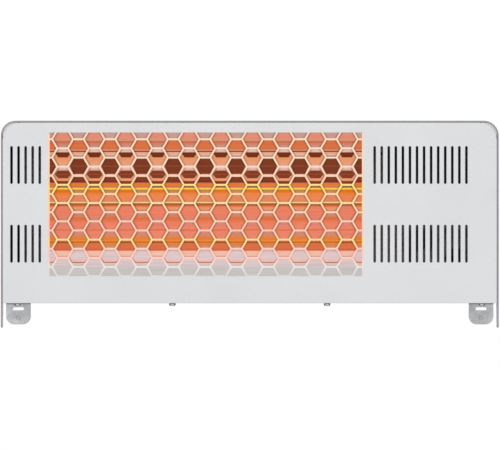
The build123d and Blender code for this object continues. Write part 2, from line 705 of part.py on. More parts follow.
def lamp_holder_shape(side):
    """Sheet-metal stirrup with a foot on the end plate's outer face."""
    end = LAMP_RIGHT if side > 0 else -LAMP_LEFT
    face = (REFLECTOR_RIGHT if side > 0 else -REFLECTOR_LEFT) + END_SHEET
    x0 = end + HOLDER_STANDOFF
    t = HOLDER_SHEET
    half_h = HOLDER_HALF_H
    foot_y = (LAMP_Y - HOLDER_HALF_FOOT, LAMP_Y + HOLDER_HALF_FOOT)
    wide = CAP_D + 2 * HOLDER_SIDE
    stem = block(x0, x0 + t, LAMP_Y - wide / 2, LAMP_Y + wide / 2, LAMP_Z - half_h, LAMP_Z + half_h)
    stem -= rod_x(CAP_D + 2 * THREAD_FIT, x0 - 1, x0 + t + 1, LAMP_Y, LAMP_Z)
    for s in (-1, 1):
        z0 = LAMP_Z + s * half_h
        stem += block(face, x0 + t, *foot_y, *sorted((z0, z0 - s * t)))
        foot = block(face, face + t, *foot_y, *sorted((z0 - s * t, z0 + s * HOLDER_FOOT_H)))
        z1 = LAMP_Z + s * HOLDER_SCREW_Z
        stem += foot - rod_x(M3 + 2 * HOLE_CLEARANCE, face - 1, face + t + 1, LAMP_Y, z1)
    return stem if side > 0 else mirror(stem, Plane.YZ)


def lamp_holder_screws_shape():
    """Two screws for each lamp holder, through the end plate's side."""
    screws = []
    for side in (-1, 1):
        face = (REFLECTOR_RIGHT if side > 0 else -REFLECTOR_LEFT) + END_SHEET
        for s in (-1, 1):
            screw = hex_screw(5.0, 1.8, M3, HOLDER_SHEET)
            screws.append(outward(screw, side, face + HOLDER_SHEET, LAMP_Y, LAMP_Z + s * HOLDER_SCREW_Z))
    return Compound(children=screws)


def lamp_lead_left_shape():
    """Sleeved lead from the left cap, along the floor to the right room."""
    x = LAMP_LEFT - 18.0
    first_pole = BLOCK_X - (BLOCK_POLES - 1) / 2 * BLOCK_PITCH
    return wire(
        [
            (LAMP_LEFT - 2.0, LAMP_Y, LAMP_Z),
            (x, LAMP_Y, LAMP_Z),
            (x, LEAD_Y, LAMP_Z),
            (x, LEAD_Y, LEAD_Z),
            (first_pole, LEAD_Y, LEAD_Z),
            (first_pole, LEAD_Y, BLOCK_Z - 4.0),
        ],
        radius=4.0,
    )


def lamp_lead_right_shape():
    """Short sleeved lead from the right cap to the thermal cut-out."""
    return wire(
        [
            (LAMP_RIGHT + 2.0, LAMP_Y, LAMP_Z),
            (LAMP_RIGHT + 24.0, LAMP_Y, LAMP_Z),
            (LAMP_RIGHT + 24.0, CUTOUT_Y, CUTOUT_Z),
            (REFLECTOR_RIGHT + END_SHEET + 13.0, CUTOUT_Y, CUTOUT_Z),
        ],
        radius=6.0,
    )


def lead_grommets_shape():
    """Grommets where the long lead crosses the end plates."""
    rings = []
    for side in (-1, 1):
        face = REFLECTOR_RIGHT if side > 0 else -REFLECTOR_LEFT
        back = face + END_SHEET
        ring = rod_x(LEAD_HOLE_D - 2 * THREAD_FIT, face - 1, back + 1, LEAD_Y, LEAD_Z)
        ring += rod_x(LEAD_RIM_D, back, back + LEAD_RIM_T, LEAD_Y, LEAD_Z)
        ring += rod_x(LEAD_RIM_D, face - LEAD_RIM_T, face, LEAD_Y, LEAD_Z)
        ring -= rod_x(WIRE_D + 0.2, face - LEAD_RIM_D, back + LEAD_RIM_D, LEAD_Y, LEAD_Z)
        rings.append(ring if side > 0 else mirror(ring, Plane.YZ))
    return Compound(children=rings)


def board_hole_places():
    """Four fixing holes near the board's corners."""
    dx = BOARD_W / 2 - BOARD_HOLE_INSET
    dz = BOARD_H / 2 - BOARD_HOLE_INSET
    return [(BOARD_X + a * dx, BOARD_Z + b * dz) for a in (-1, 1) for b in (-1, 1)]


def control_board_shape():
    """Bare board of the power control."""
    y1 = CHASSIS_BACK - BOARD_STANDOFF
    board = block(
        BOARD_X - BOARD_W / 2,
        BOARD_X + BOARD_W / 2,
        y1 - BOARD_T,
        y1,
        BOARD_Z - BOARD_H / 2,
        BOARD_Z + BOARD_H / 2,
    )
    for x, z in board_hole_places():
        board -= rod_y(M3 + 2 * HOLE_CLEARANCE, y1 - BOARD_T - 1, y1 + 1, x, z)
    return board


def board_standoffs_shape():
    """Pillars with a screw each, between the back panel and the board."""
    y1 = CHASSIS_BACK - BOARD_STANDOFF
    pillars = []
    for x, z in board_hole_places():
        pillar = rod_y(6.0, y1, CHASSIS_BACK, x, z)
        pillar += rod_y(M3, y1 - BOARD_T, CHASSIS_BACK + PANEL_SHEET, x, z)
        pillar += rod_y(5.5, y1 - BOARD_T - 2.0, y1 - BOARD_T, x, z)
        pillar += rod_y(5.5, CHASSIS_BACK + PANEL_SHEET, CHASSIS_BACK + PANEL_SHEET + 1.6, x, z)
        pillars.append(pillar)
    return Compound(children=pillars)


def relay_shape():
    """Power relay on the board."""
    y1 = CHASSIS_BACK - BOARD_STANDOFF - BOARD_T
    x0 = BOARD_X + 6.0
    z0 = BOARD_Z - 27.0
    box = block(x0, x0 + RELAY_W, y1 - RELAY_DEPTH, y1, z0, z0 + RELAY_H)
    return fillet(box.edges().filter_by(Axis.Y), 1.0)


def heatsink_shape():
    """Finned cooler for the power switch."""
    y1 = CHASSIS_BACK - BOARD_STANDOFF - BOARD_T
    x0 = BOARD_X - 34.0
    low = BOARD_Z + SINK_UP
    top = low + SINK_BASE
    sink = block(x0, x0 + SINK_W, y1 - SINK_DEPTH, y1, low, top)
    for x in spread(x0, x0 + SINK_W - SINK_FIN_T, SINK_FINS):
        sink += block(x, x + SINK_FIN_T, y1 - SINK_DEPTH, y1, top, top + SINK_FIN_H)
    return sink


def triac_shape():
    """Power switch seated on the cooler, with three legs into the board."""
    y1 = CHASSIS_BACK - BOARD_STANDOFF - BOARD_T
    x = BOARD_X - 16.0
    top = BOARD_Z + SINK_UP
    body = block(x - 5.0, x + 5.0, y1 - 24.0, y1 - 8.0, top - 4.4, top)
    for i in (-1, 0, 1):
        body += block(x + i * 2.5 - 0.4, x + i * 2.5 + 0.4, y1 - 8.0, y1, top - 2.6, top - 1.8)
    return body


def terminal_block_shape():
    """Ceramic block with one pole for each wire."""
    half = BLOCK_POLES * BLOCK_PITCH / 2
    y1 = CHASSIS_BACK
    body = block(BLOCK_X - half, BLOCK_X + half, y1 - 8.0, y1, BLOCK_Z - 11.0, BLOCK_Z + 11.0)
    for i in range(BLOCK_POLES):
        x = BLOCK_X + (i - (BLOCK_POLES - 1) / 2) * BLOCK_PITCH
        body += block(x - 4.5, x + 4.5, y1 - 16.0, y1 - 8.0, BLOCK_Z - 11.0, BLOCK_Z + 11.0)
        for s in (-1, 1):
            body -= rod_y(4.2, y1 - 18.0, y1 - 12.2, x, BLOCK_Z + s * 6.0)
        body -= rod_z(WIRE_D + 0.3, BLOCK_Z - 12.0, BLOCK_Z + 12.0, x, y1 - 10.5)
    return body


def terminal_screws_shape():
    """Clamping screws of the terminal block."""
    y1 = CHASSIS_BACK
    screws = []
    for i in range(BLOCK_POLES):
        x = BLOCK_X + (i - (BLOCK_POLES - 1) / 2) * BLOCK_PITCH
        for s in (-1, 1):
            screws.append(rod_y(4.2 - 2 * THREAD_FIT, y1 - 15.0, y1 - 12.2, x, BLOCK_Z + s * 6.0))
    return Compound(children=screws)


def earth_stud_shape():
    """Earth stud with its nut on the chassis floor."""
    low = FASCIA_BOTTOM + FASCIA_SHEET
    top = low + CHASSIS_SHEET
    stud = rod_z(M4, low, top + 12.0, EARTH_X, EARTH_Y)
    nut = extrude(RegularPolygon(3.5, 6, major_radius=False), 3.2)
    stud += Pos(EARTH_X, EARTH_Y, top + 1.0) * nut
    return stud + rod_z(9.0, top, top + 1.0, EARTH_X, EARTH_Y)


def thermal_cutout_shape():
    """Disc thermostat on the right end plate, with two flat tabs."""
    face = REFLECTOR_RIGHT + END_SHEET
    body = rod_x(24.0, face, face + 1.0, CUTOUT_Y, CUTOUT_Z)
    body += rod_x(16.0, face + 1.0, face + 9.0, CUTOUT_Y, CUTOUT_Z)
    body += block(face + 9.0, face + 13.0, CUTOUT_Y - 2.0, CUTOUT_Y + 2.0, CUTOUT_Z - 0.4, CUTOUT_Z + 0.4)
    return body


def cable_gland_shape():
    """Gland with a hexagon flange and a domed nut outside the back panel."""
    seat = CHASSIS_BACK + PANEL_SHEET
    thread = rod_y(GLAND_HOLE_D - 2 * HOLE_CLEARANCE, CHASSIS_BACK - 9.0, seat, GLAND_X, GLAND_Z)
    collar = extrude(RegularPolygon(11.0, 6, major_radius=False), 4.0)
    body = thread + rear_facing(collar, GLAND_X, seat, GLAND_Z)
    dome = rod_y(19.0, seat + 4.0, seat + 12.0, GLAND_X, GLAND_Z)
    dome = chamfer(dome.edges().sort_by(Axis.Y)[-1], 2.5)
    body += dome
    return body - rod_y(8.0, CHASSIS_BACK - 12.0, seat + 20.0, GLAND_X, GLAND_Z)


def gland_locknut_shape():
    """Locknut of the gland inside the back panel."""
    nut = hex_nut(22.0, 4.0, GLAND_HOLE_D - 2 * HOLE_CLEARANCE + 2 * THREAD_FIT)
    return rear_facing(nut, GLAND_X, CHASSIS_BACK - 4.0, GLAND_Z)


def cable_clamp_shape():
    """Saddle that takes the pull off the wires."""
    x = GLAND_X
    y1 = CHASSIS_BACK
    z = GLAND_Z + 30.0
    foot = block(x - 14.0, x + 14.0, y1 - 2.0, y1, z - 5.0, z + 5.0)
    arch = block(x - 7.0, x + 7.0, y1 - 9.0, y1 - 2.0, z - 5.0, z + 5.0)
    arch -= block(x - 5.0, x + 5.0, y1 - 7.0, y1 - 2.0, z - 6.0, z + 6.0)
    saddle = foot + arch
    return saddle


def supply_wires_shape():
    """Wires from the terminal block to the board and to the cut-out."""
    y = CHASSIS_BACK - 10.5
    first = BLOCK_X - (BLOCK_POLES - 1) / 2 * BLOCK_PITCH
    top = BOARD_Z - BOARD_H / 2 - 0.4
    wires = []
    for i in range(BLOCK_POLES - 1):
        x = first + (i + 1) * BLOCK_PITCH
        wires.append(wire([(x, y, BLOCK_Z + 4.0), (x, y, BLOCK_Z + 26.0), (x + 6.0, y, top)], radius=5.0))
    return Compound(children=wires)


def wall_bracket_shape(side):
    """Wall plate with its slotted tab, and the arm bent forward from its outer edge."""
    t = BRACKET_SHEET
    outer = BRACKET_OUTER
    inner = outer - BRACKET_W
    middle = outer - BRACKET_W / 2
    plate = block(inner, outer, -t, 0, BRACKET_LOW, BRACKET_HIGH)
    plate = fillet(plate.edges().filter_by(Axis.Y).group_by(Axis.Z)[0], BRACKET_FOOT_ROUND)
    slot = Plane.XZ * SlotOverall(WALL_SLOT_L, WALL_SLOT_W)
    plate -= Pos(middle, -t / 2, 0) * extrude(slot, t, both=True)
    plate -= rod_y(WALL_HOLE_D, -t - 1, 1, middle, WALL_HOLE_Z)
    groove = rod_y(DIMPLE_D, -t - 1, -t + DIMPLE_DEPTH, middle, DIMPLE_Z)
    plate -= groove - rod_y(DIMPLE_D - 2 * DIMPLE_RING, -t - 2, 0, middle, DIMPLE_Z)
    arm = block(outer - t, outer, ARM_FRONT, 0, ARM_LOW, BRACKET_HIGH)
    arm = fillet(arm.edges().filter_by(Axis.X).group_by(Axis.Y)[0], 12.0)
    bracket = plate + arm
    bracket -= rod_x(PIVOT_D + 2 * PIVOT_FIT, outer - t - 1, outer + 1, PIVOT_Y, PIVOT_Z)
    bracket -= lock_slot(outer)
    return bracket if side > 0 else mirror(bracket, Plane.YZ)


def lock_slot(outer):
    """Arc slot that the lock screw sweeps as the body tilts forward."""
    width = LOCK_D + 2 * LOCK_SLOT_GAP
    r0 = LOCK_RADIUS - width / 2
    r1 = LOCK_RADIUS + width / 2
    t = BRACKET_SHEET
    ring = rod_x(2 * r1, outer - t - 1, outer + 1, PIVOT_Y, PIVOT_Z)
    ring -= rod_x(2 * r0, outer - t - 2, outer + 2, PIVOT_Y, PIVOT_Z)
    far = 2 * r1
    a = radians(TILT_RANGE)
    wedge = Polyline(
        (PIVOT_Y, PIVOT_Z),
        (PIVOT_Y, PIVOT_Z + far),
        (PIVOT_Y - far * sin(a), PIVOT_Z + far * cos(a)),
        close=True,
    )
    wedge = Pos(outer - t - 2, 0, 0) * extrude(make_face(Plane.YZ * wedge), t + 4, dir=(1, 0, 0))
    slot = ring & wedge
    for angle in (0.0, a):
        y = PIVOT_Y - LOCK_RADIUS * sin(angle)
        z = PIVOT_Z + LOCK_RADIUS * cos(angle)
        slot += rod_x(width, outer - t - 1, outer + 1, y, z)
    return slot


def side_screws_shape(d, head_factor, z):
    """Flush screws through both cheeks at one height."""
    length = BODY_W / 2 - CHASSIS_HALF_W - SIDE_NUT_GAP
    screw = flush_screw(d * head_factor, HOOD_SHEET - 0.1, d, length)
    return Compound(children=[outward(screw, s, BODY_W / 2, PIVOT_Y, z) for s in (-1, 1)])


def side_spacers_shape(d, outer_d, z):
    """Rings between the cheeks and the bracket arms."""
    cheek = BODY_W / 2 - HOOD_SHEET
    ring = Cylinder(outer_d / 2, SPACER_T) - Cylinder(d / 2 + THREAD_FIT, SPACER_T * 2)
    return Compound(children=[outward(ring, s, cheek - SPACER_T / 2, PIVOT_Y, z) for s in (-1, 1)])


def side_nuts_shape(d, across, z):
    """Nuts on the inner side of the bracket arms."""
    face = BRACKET_OUTER - BRACKET_SHEET - SIDE_PLAY
    nut = hex_nut(across, SIDE_NUT_T, d + 2 * THREAD_FIT)
    return Compound(children=[outward(nut, s, face - SIDE_NUT_T, PIVOT_Y, z) for s in (-1, 1)])


LOCK_Z = PIVOT_Z + LOCK_RADIUS

PARTS = {
    "hood": hood_shape,
    "fascia": fascia_shape,
    "fascia_screws": fascia_screws_shape,
    "fascia_clinch_nuts": fascia_nuts_shape,
    "guard_mesh": guard_shape,
    "guard_rail_top": lambda: guard_rail_shape(GUARD_HIGH - RAIL_H, GUARD_HIGH),
    "guard_rail_bottom": lambda: guard_rail_shape(GUARD_LOW, GUARD_LOW + RAIL_H),
    "guard_screws": guard_screws_shape,
    "chassis": chassis_shape,
    "hood_screws": hood_screws_shape,
    "back_panel": back_panel_shape,
    "back_panel_screws": back_panel_screws_shape,
    "reflector": reflector_shape,
    "end_plate_left": lambda: end_plate_shape(-1),
    "end_plate_right": lambda: end_plate_shape(1),
    "end_plate_rivets": end_plate_rivets_shape,
    "reflector_posts": reflector_posts_shape,
    "heat_shield": heat_shield_shape,
    "lamp_tube": lamp_tube_shape,
    "lamp_element": lamp_element_shape,
    "lamp_end_caps": lamp_caps_shape,
    "lamp_holder_left": lambda: lamp_holder_shape(-1),
    "lamp_holder_right": lambda: lamp_holder_shape(1),
    "lamp_holder_screws": lamp_holder_screws_shape,
    "lamp_lead_left": lamp_lead_left_shape,
    "lamp_lead_right": lamp_lead_right_shape,
    "lead_grommets": lead_grommets_shape,
    "control_board": control_board_shape,
    "board_standoffs": board_standoffs_shape,
    "relay": relay_shape,
    "heatsink": heatsink_shape,
    "triac": triac_shape,
    "terminal_block": terminal_block_shape,
    "terminal_screws": terminal_screws_shape,
    "earth_stud": earth_stud_shape,
    "thermal_cutout": thermal_cutout_shape,
    "cable_gland": cable_gland_shape,
    "gland_locknut": gland_locknut_shape,
    "cable_clamp": cable_clamp_shape,
    "supply_wires": supply_wires_shape,
    "wall_bracket_left": lambda: wall_bracket_shape(-1),
    "wall_bracket_right": lambda: wall_bracket_shape(1),
    "pivot_bolts": lambda: side_screws_shape(PIVOT_D, 1.7, PIVOT_Z),
    "pivot_spacers": lambda: side_spacers_shape(PIVOT_D, 12.0, PIVOT_Z),
    "pivot_nuts": lambda: side_nuts_shape(PIVOT_D, 10.0, PIVOT_Z),
    "lock_screws": lambda: side_screws_shape(LOCK_D, 1.8, LOCK_Z),
    "lock_spacers": lambda: side_spacers_shape(LOCK_D, 10.0, LOCK_Z),
    "lock_nuts": lambda: side_nuts_shape(LOCK_D, 8.0, LOCK_Z),
}

os.makedirs("parts", exist_ok=True)
for name, make in PARTS.items():
    export_step(make(), "parts/" + name + ".step")
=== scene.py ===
import bpy
import numpy as np
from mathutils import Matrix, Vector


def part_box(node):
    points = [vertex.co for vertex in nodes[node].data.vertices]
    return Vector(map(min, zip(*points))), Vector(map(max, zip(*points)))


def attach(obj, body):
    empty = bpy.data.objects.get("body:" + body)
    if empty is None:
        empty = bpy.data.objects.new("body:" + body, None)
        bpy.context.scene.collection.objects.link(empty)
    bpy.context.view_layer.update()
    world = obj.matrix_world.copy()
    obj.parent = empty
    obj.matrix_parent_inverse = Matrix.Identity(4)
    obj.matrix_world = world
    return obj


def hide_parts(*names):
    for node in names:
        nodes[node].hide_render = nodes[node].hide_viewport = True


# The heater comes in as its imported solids, in metres, with the wall at y = 0.
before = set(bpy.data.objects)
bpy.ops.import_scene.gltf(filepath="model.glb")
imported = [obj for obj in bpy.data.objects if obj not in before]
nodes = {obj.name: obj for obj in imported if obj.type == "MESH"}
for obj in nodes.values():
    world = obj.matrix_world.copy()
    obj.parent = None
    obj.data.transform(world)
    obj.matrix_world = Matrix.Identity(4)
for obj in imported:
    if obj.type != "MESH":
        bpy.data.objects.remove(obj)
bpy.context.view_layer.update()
bpy.context.scene.view_settings.view_transform = "Standard"


# Sheet metal of the wall brackets.
# Two folded plates of galvanised steel, 2 mm thick, that stay on the wall while the body
# tilts. The zinc shows a faint spangle and fine drawing marks along the strip.
def srgb(r, g, b):
    """Screen colour from 0 to 255 as the linear colour that the shader takes."""
    c = np.array([r, g, b], float) / 255.0
    lin = np.where(c <= 0.04045, c / 12.92, ((c + 0.055) / 1.055) ** 2.4)
    return (float(lin[0]), float(lin[1]), float(lin[2]), 1.0)


def new_finish(name, metallic, roughness):
    """Empty finish with its shader, ready for colour and bump."""
    finish = bpy.data.materials.new(name)
    finish.use_nodes = True
    shader = finish.node_tree.nodes["Principled BSDF"]
    shader.inputs["Metallic"].default_value = metallic
    shader.inputs["Roughness"].default_value = roughness
    return finish, finish.node_tree, shader


def place(tree, scale=(1.0, 1.0, 1.0), at=(0.0, 0.0, 0.0)):
    """Object coordinates, scaled and shifted for a pattern."""
    coords = tree.nodes.new("ShaderNodeTexCoord")
    mapping = tree.nodes.new("ShaderNodeMapping")
    mapping.inputs["Scale"].default_value = scale
    mapping.inputs["Location"].default_value = at
    tree.links.new(coords.outputs["Object"], mapping.inputs["Vector"])
    return mapping.outputs["Vector"]


def grain(tree, vector, scale, detail=3.0, rough=0.5):
    """Fine noise value on a vector."""
    noise = tree.nodes.new("ShaderNodeTexNoise")
    noise.inputs["Scale"].default_value = scale
    noise.inputs["Detail"].default_value = detail
    noise.inputs["Roughness"].default_value = rough
    tree.links.new(vector, noise.inputs["Vector"])
    return noise.outputs["Fac"]


def tones(tree, value, stops):
    """Value turned into colour through a ramp of (place, colour) stops."""
    ramp = tree.nodes.new("ShaderNodeValToRGB")
    while len(ramp.color_ramp.elements) < len(stops):
        ramp.color_ramp.elements.new(0.5)
    for element, (position, colour) in zip(ramp.color_ramp.elements, stops):
        element.position = position
        element.color = colour
    tree.links.new(value, ramp.inputs["Fac"])
    return ramp.outputs["Color"]


def relief(tree, shader, value, depth, strength):
    """Bump of a value on the shader's normal, depth in metres."""
    bump = tree.nodes.new("ShaderNodeBump")
    bump.inputs["Distance"].default_value = depth
    bump.inputs["Strength"].default_value = strength
    tree.links.new(value, bump.inputs["Height"])
    tree.links.new(bump.outputs["Normal"], shader.inputs["Normal"])


def rough_between(tree, shader, value, low, high):
    """Roughness that wanders between two levels with a value."""
    spread = tree.nodes.new("ShaderNodeMapRange")
    spread.inputs["To Min"].default_value = low
    spread.inputs["To Max"].default_value = high
    tree.links.new(value, spread.inputs["Value"])
    tree.links.new(spread.outputs["Result"], shader.inputs["Roughness"])


def maths(tree, kind, a, b=None, c=None):
    """One arithmetic step on values or plain numbers."""
    node = tree.nodes.new("ShaderNodeMath")
    node.operation = kind
    for socket, item in zip(node.inputs, (a, b, c)):
        if item is None:
            continue
        if isinstance(item, (int, float)):
            socket.default_value = item
        else:
            tree.links.new(item, socket)
    return node.outputs["Value"]


def minus(tree, a, b):
    """The first value less the second."""
    return maths(tree, "SUBTRACT", a, b)


def times(tree, a, b):
    """Two values multiplied."""
    return maths(tree, "MULTIPLY", a, b)


def size_of(tree, a):
    """A value without its sign."""
    return maths(tree, "ABSOLUTE", a)


SOFT_EDGE = 0.0003


def soft_step(tree, value):
    """0 below zero, 1 above, with a narrow soft edge."""
    edge = tree.nodes.new("ShaderNodeMapRange")
    edge.inputs["From Min"].default_value = -SOFT_EDGE
    edge.inputs["From Max"].default_value = SOFT_EDGE
    tree.links.new(value, edge.inputs["Value"])
    return edge.outputs["Result"]


def blended(tree, kind, factor, first, second):
    """Two colours put together; factor is a number or a value."""
    mix = tree.nodes.new("ShaderNodeMix")
    mix.data_type = "RGBA"
    mix.blend_type = kind
    for socket, item in (("Factor", factor), ("A", first), ("B", second)):
        if isinstance(item, (int, float, tuple)):
            mix.inputs[socket].default_value = item
        else:
            tree.links.new(item, mix.inputs[socket])
    return mix.outputs["Result"]


def sorted_out(tree):
    """X, Y and Z of the object, as three values."""
    split = tree.nodes.new("ShaderNodeSeparateXYZ")
    tree.links.new(place(tree), split.inputs["Vector"])
    return split.outputs["X"], split.outputs["Y"], split.outputs["Z"]


def zinc_sheet(name, dark, light, marks, metallic=0.55):
    """Galvanised sheet: cell-shaped spangle under drawn lines along one axis."""
    finish, tree, shader = new_finish(name, metallic, 0.45)
    cells = tree.nodes.new("ShaderNodeTexVoronoi")
    cells.inputs["Scale"].default_value = 140.0
    tree.links.new(place(tree), cells.inputs["Vector"])
    lines = grain(tree, place(tree, marks), 60.0, 4.0, 0.6)
    blend = tree.nodes.new("ShaderNodeMix")
    blend.data_type = "FLOAT"
    blend.inputs["Factor"].default_value = 0.55
    tree.links.new(cells.outputs["Color"], blend.inputs["A"])
    tree.links.new(lines, blend.inputs["B"])
    colour = tones(tree, blend.outputs["Result"], [(0.25, dark), (0.75, light)])
    tree.links.new(colour, shader.inputs["Base Color"])
    rough_between(tree, shader, lines, 0.34, 0.55)
    relief(tree, shader, lines, 0.00006, 0.35)
    return finish, tree, shader, colour


def dress(finish, *names):
    """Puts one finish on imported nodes."""
    for name in names:
        slots = nodes[name].data.materials
        slots.clear()
        slots.append(finish)


# The tabs get painted shade in their pressed ring and a painted shadow line under the body's bottom
# edge.
TAB_FACE_FROM = -0.0015
TAB_MIDDLE_X = 0.28
RING_Z = -0.0106
RING_R = 0.0022
RING_HALF_W = 0.0006
SHADOW_LINE_LOW = 0.0055
SHADOW_LINE_HIGH = 0.0091


def tabs_with_painted_shade(tree, shader, colour):
    """Painted shade in the pressed ring of each tab, and a painted shadow line where the body covers it.
    """
    x, y, z = sorted_out(tree)
    face = soft_step(tree, minus(tree, TAB_FACE_FROM, y))
    off_x = minus(tree, size_of(tree, x), TAB_MIDDLE_X)
    off_z = minus(tree, z, RING_Z)
    square = maths(tree, "ADD", times(tree, off_x, off_x), times(tree, off_z, off_z))
    from_ring = size_of(tree, minus(tree, maths(tree, "SQRT", square), RING_R))
    ring = soft_step(tree, minus(tree, RING_HALF_W, from_ring))
    line = soft_step(tree, minus(tree, z, SHADOW_LINE_LOW))
    near_line = soft_step(tree, minus(tree, SHADOW_LINE_HIGH, z))
    speck = grain(tree, place(tree), 800.0, 2.0, 0.8)
    fine = tones(tree, speck, [(0.35, srgb(222, 222, 222)), (0.65, srgb(255, 255, 255))])
    tone = blended(tree, "MULTIPLY", 0.8, colour, fine)
    # Painted shade in the pressed ring, on the front face only.
    ring_shade = times(tree, times(tree, ring, face), 0.5)
    tone = blended(tree, "MIX", ring_shade, tone, srgb(120, 122, 126))
    # Painted shadow line under the body's bottom edge, on the front face only.
    painted_shadow = times(tree, times(tree, line, near_line), 0.85)
    painted_shadow = times(tree, painted_shadow, face)
    tone = blended(tree, "MIX", painted_shadow, tone, srgb(58, 60, 64))
    tree.links.new(tone, shader.inputs["Base Color"])


bracket_zinc, bracket_tree, bracket_shader, bracket_colour = zinc_sheet(
    "bracket zinc", srgb(214, 216, 218), srgb(242, 244, 246), (1.0, 8.0, 0.6), 0.1)
tabs_with_painted_shade(bracket_tree, bracket_shader, bracket_colour)
dress(bracket_zinc, "wall_bracket_left", "wall_bracket_right")

# Chassis tray, back panel and shields.
# Thin galvanised trays folded from one blank each; the insides of the two side rooms are
# dulled black as painted shade for the dark inside, so that nothing shines through the vent slots.
inner_zinc = zinc_sheet("tray zinc", srgb(126, 128, 130), srgb(158, 160, 162), (0.5, 6.0, 6.0))[0]
dress(inner_zinc, "heat_shield", "cable_clamp", "guard_rail_top", "guard_rail_bottom")


def shade_black(name):
    """Matt black that stands in for the shade inside the body, with a dusty grain."""
    finish, tree, shader = new_finish(name, 0.0, 0.75)
    dust = grain(tree, place(tree), 420.0, 4.0, 0.65)
    soot = tones(tree, dust, [(0.3, srgb(14, 14, 15)), (0.75, srgb(34, 34, 36))])
    tree.links.new(soot, shader.inputs["Base Color"])
    rough_between(tree, shader, dust, 0.6, 0.9)
    relief(tree, shader, dust, 0.00008, 0.3)
    return finish


# The chassis is painted shade: matt black where the inside of the body lies in shade.
tray_shade_black = shade_black("tray shade black")
dress(tray_shade_black, "chassis")

# Hood and fascia.
# Pressed from 1.5 and 2 mm steel, powder coated in one light silver-grey, fine satin
# grain with a trace of aluminium flake; edges broken by a small fold.
def zigzag(tree, value, start, step):
    """0 at every start + k * step, 1 halfway between."""
    turns = maths(tree, "DIVIDE", minus(tree, value, start), step)
    inside = maths(tree, "FRACT", maths(tree, "ADD", turns, 0.5))
    return times(tree, size_of(tree, minus(tree, inside, 0.5)), 2.0)


VENT_PITCH = 0.0085
VENT_HALF_W = 0.00125
VENT_HALF_L = 0.0225
VENT_MIDDLE_Z = 0.1263
VENT_ROW = 0.0474
VENT_FIELDS = ((-0.287, 5), (0.1505, 14))
SLOT_SHADE_REACH = 0.00034


def painted_slot_shade(tree):
    """Painted shade round every vent slot, as 1 on the dark rim and 0 elsewhere."""
    x, y, z = sorted_out(tree)
    row = size_of(tree, minus(tree, z, VENT_MIDDLE_Z))
    along = size_of(tree, minus(tree, row, VENT_ROW))
    past = maths(tree, "MAXIMUM", minus(tree, along, VENT_HALF_L - VENT_HALF_W), 0.0)
    total = None
    for first, count in VENT_FIELDS:
        off = times(tree, zigzag(tree, x, first, VENT_PITCH), VENT_PITCH / 2)
        square = maths(tree, "ADD", times(tree, off, off), times(tree, past, past))
        reach = minus(tree, VENT_HALF_W + SLOT_SHADE_REACH, maths(tree, "SQRT", square))
        middle = first + VENT_PITCH * (count - 1) / 2
        off_field = size_of(tree, minus(tree, x, middle))
        in_field = soft_step(tree, minus(tree, VENT_PITCH * count / 2, off_field))
        edge = times(tree, soft_step(tree, reach), in_field)
        total = edge if total is None else maths(tree, "MAXIMUM", total, edge)
    return total


HOOD_CUT_Y = -0.1185
CHEEK_MIDDLE_X = 0.299
CHEEK_HALF_SHEET = 0.00095
CHEEK_FOOT_Z = -0.0115
SHARPER = 10.0


def painted_edge_shade(tree):
    """Painted shade on the hood's cut edge that faces the room and on the rounded feet of its cheeks."""
    x, y, z = sorted_out(tree)
    front = soft_step(tree, minus(tree, HOOD_CUT_Y, y))
    off_sheet = size_of(tree, minus(tree, size_of(tree, x), CHEEK_MIDDLE_X))
    in_sheet = times(tree, minus(tree, CHEEK_HALF_SHEET, off_sheet), SHARPER)
    foot = soft_step(tree, minus(tree, CHEEK_FOOT_Z, z))
    return maths(tree, "MAXIMUM", front, times(tree, soft_step(tree, in_sheet), foot))


def powder_coat(name, shade, sparkle, roughness, edges=None, edge_shade=None):
    """Satin powder coat: orange-peel relief, slow tone drift, small bright flakes, painted shade on the
    given edges.
    """
    finish, tree, shader = new_finish(name, 0.0, roughness)
    shader.inputs["Specular IOR Level"].default_value = 0.35
    drift = grain(tree, place(tree), 9.0, 2.0, 0.5)
    speck = grain(tree, place(tree), 1900.0, 2.0, 0.7)
    base = tones(tree, drift, [(0.35, shade), (0.65, sparkle)])
    flakes = tones(tree, speck, [(0.30, srgb(222, 222, 224)), (0.72, srgb(255, 255, 255))])
    paint = blended(tree, "MULTIPLY", 0.35, base, flakes)
    if edges:
        paint = blended(tree, "MIX", edges(tree), paint, edge_shade)
    tree.links.new(paint, shader.inputs["Base Color"])
    peel = grain(tree, place(tree), 650.0, 2.0, 0.5)
    relief(tree, shader, peel, 0.00005, 0.25)
    rough_between(tree, shader, speck, roughness - 0.06, roughness + 0.08)
    return finish


PAINT_LOW = srgb(217, 218, 220)
PAINT_HIGH = srgb(221, 222, 224)
silver_paint = powder_coat("silver powder coat", PAINT_LOW, PAINT_HIGH, 0.42)
dress(silver_paint, "back_panel", "hood_screws")
# Fascia coat with a near-black painted shade round each vent slot.
fascia_paint = powder_coat("fascia coat", PAINT_LOW, PAINT_HIGH, 0.42, painted_slot_shade, srgb(8, 8, 9))
dress(fascia_paint, "fascia")
# Hood coat with painted shade on its front edge and its cheeks' feet.
hood_paint = powder_coat("hood coat", PAINT_LOW, PAINT_HIGH, 0.42, painted_edge_shade, srgb(150, 151, 153))
dress(hood_paint, "hood")

# Corner gussets.
# Two crescents of 1.5 mm sheet close the gap between the hood's tight corner
# and the fascia's wider one. They sit a touch behind the hood's front edge.
HOOD_CORNER = (0.282, 0.2091)
HOOD_BEND = 0.0158
FASCIA_CORNER = (0.2752, 0.2023)
FASCIA_BEND = 0.0227
GUSSET_TIP = 12.0
GUSSET_STEPS = 13
GUSSET_Y = (-0.1186, -0.1171)


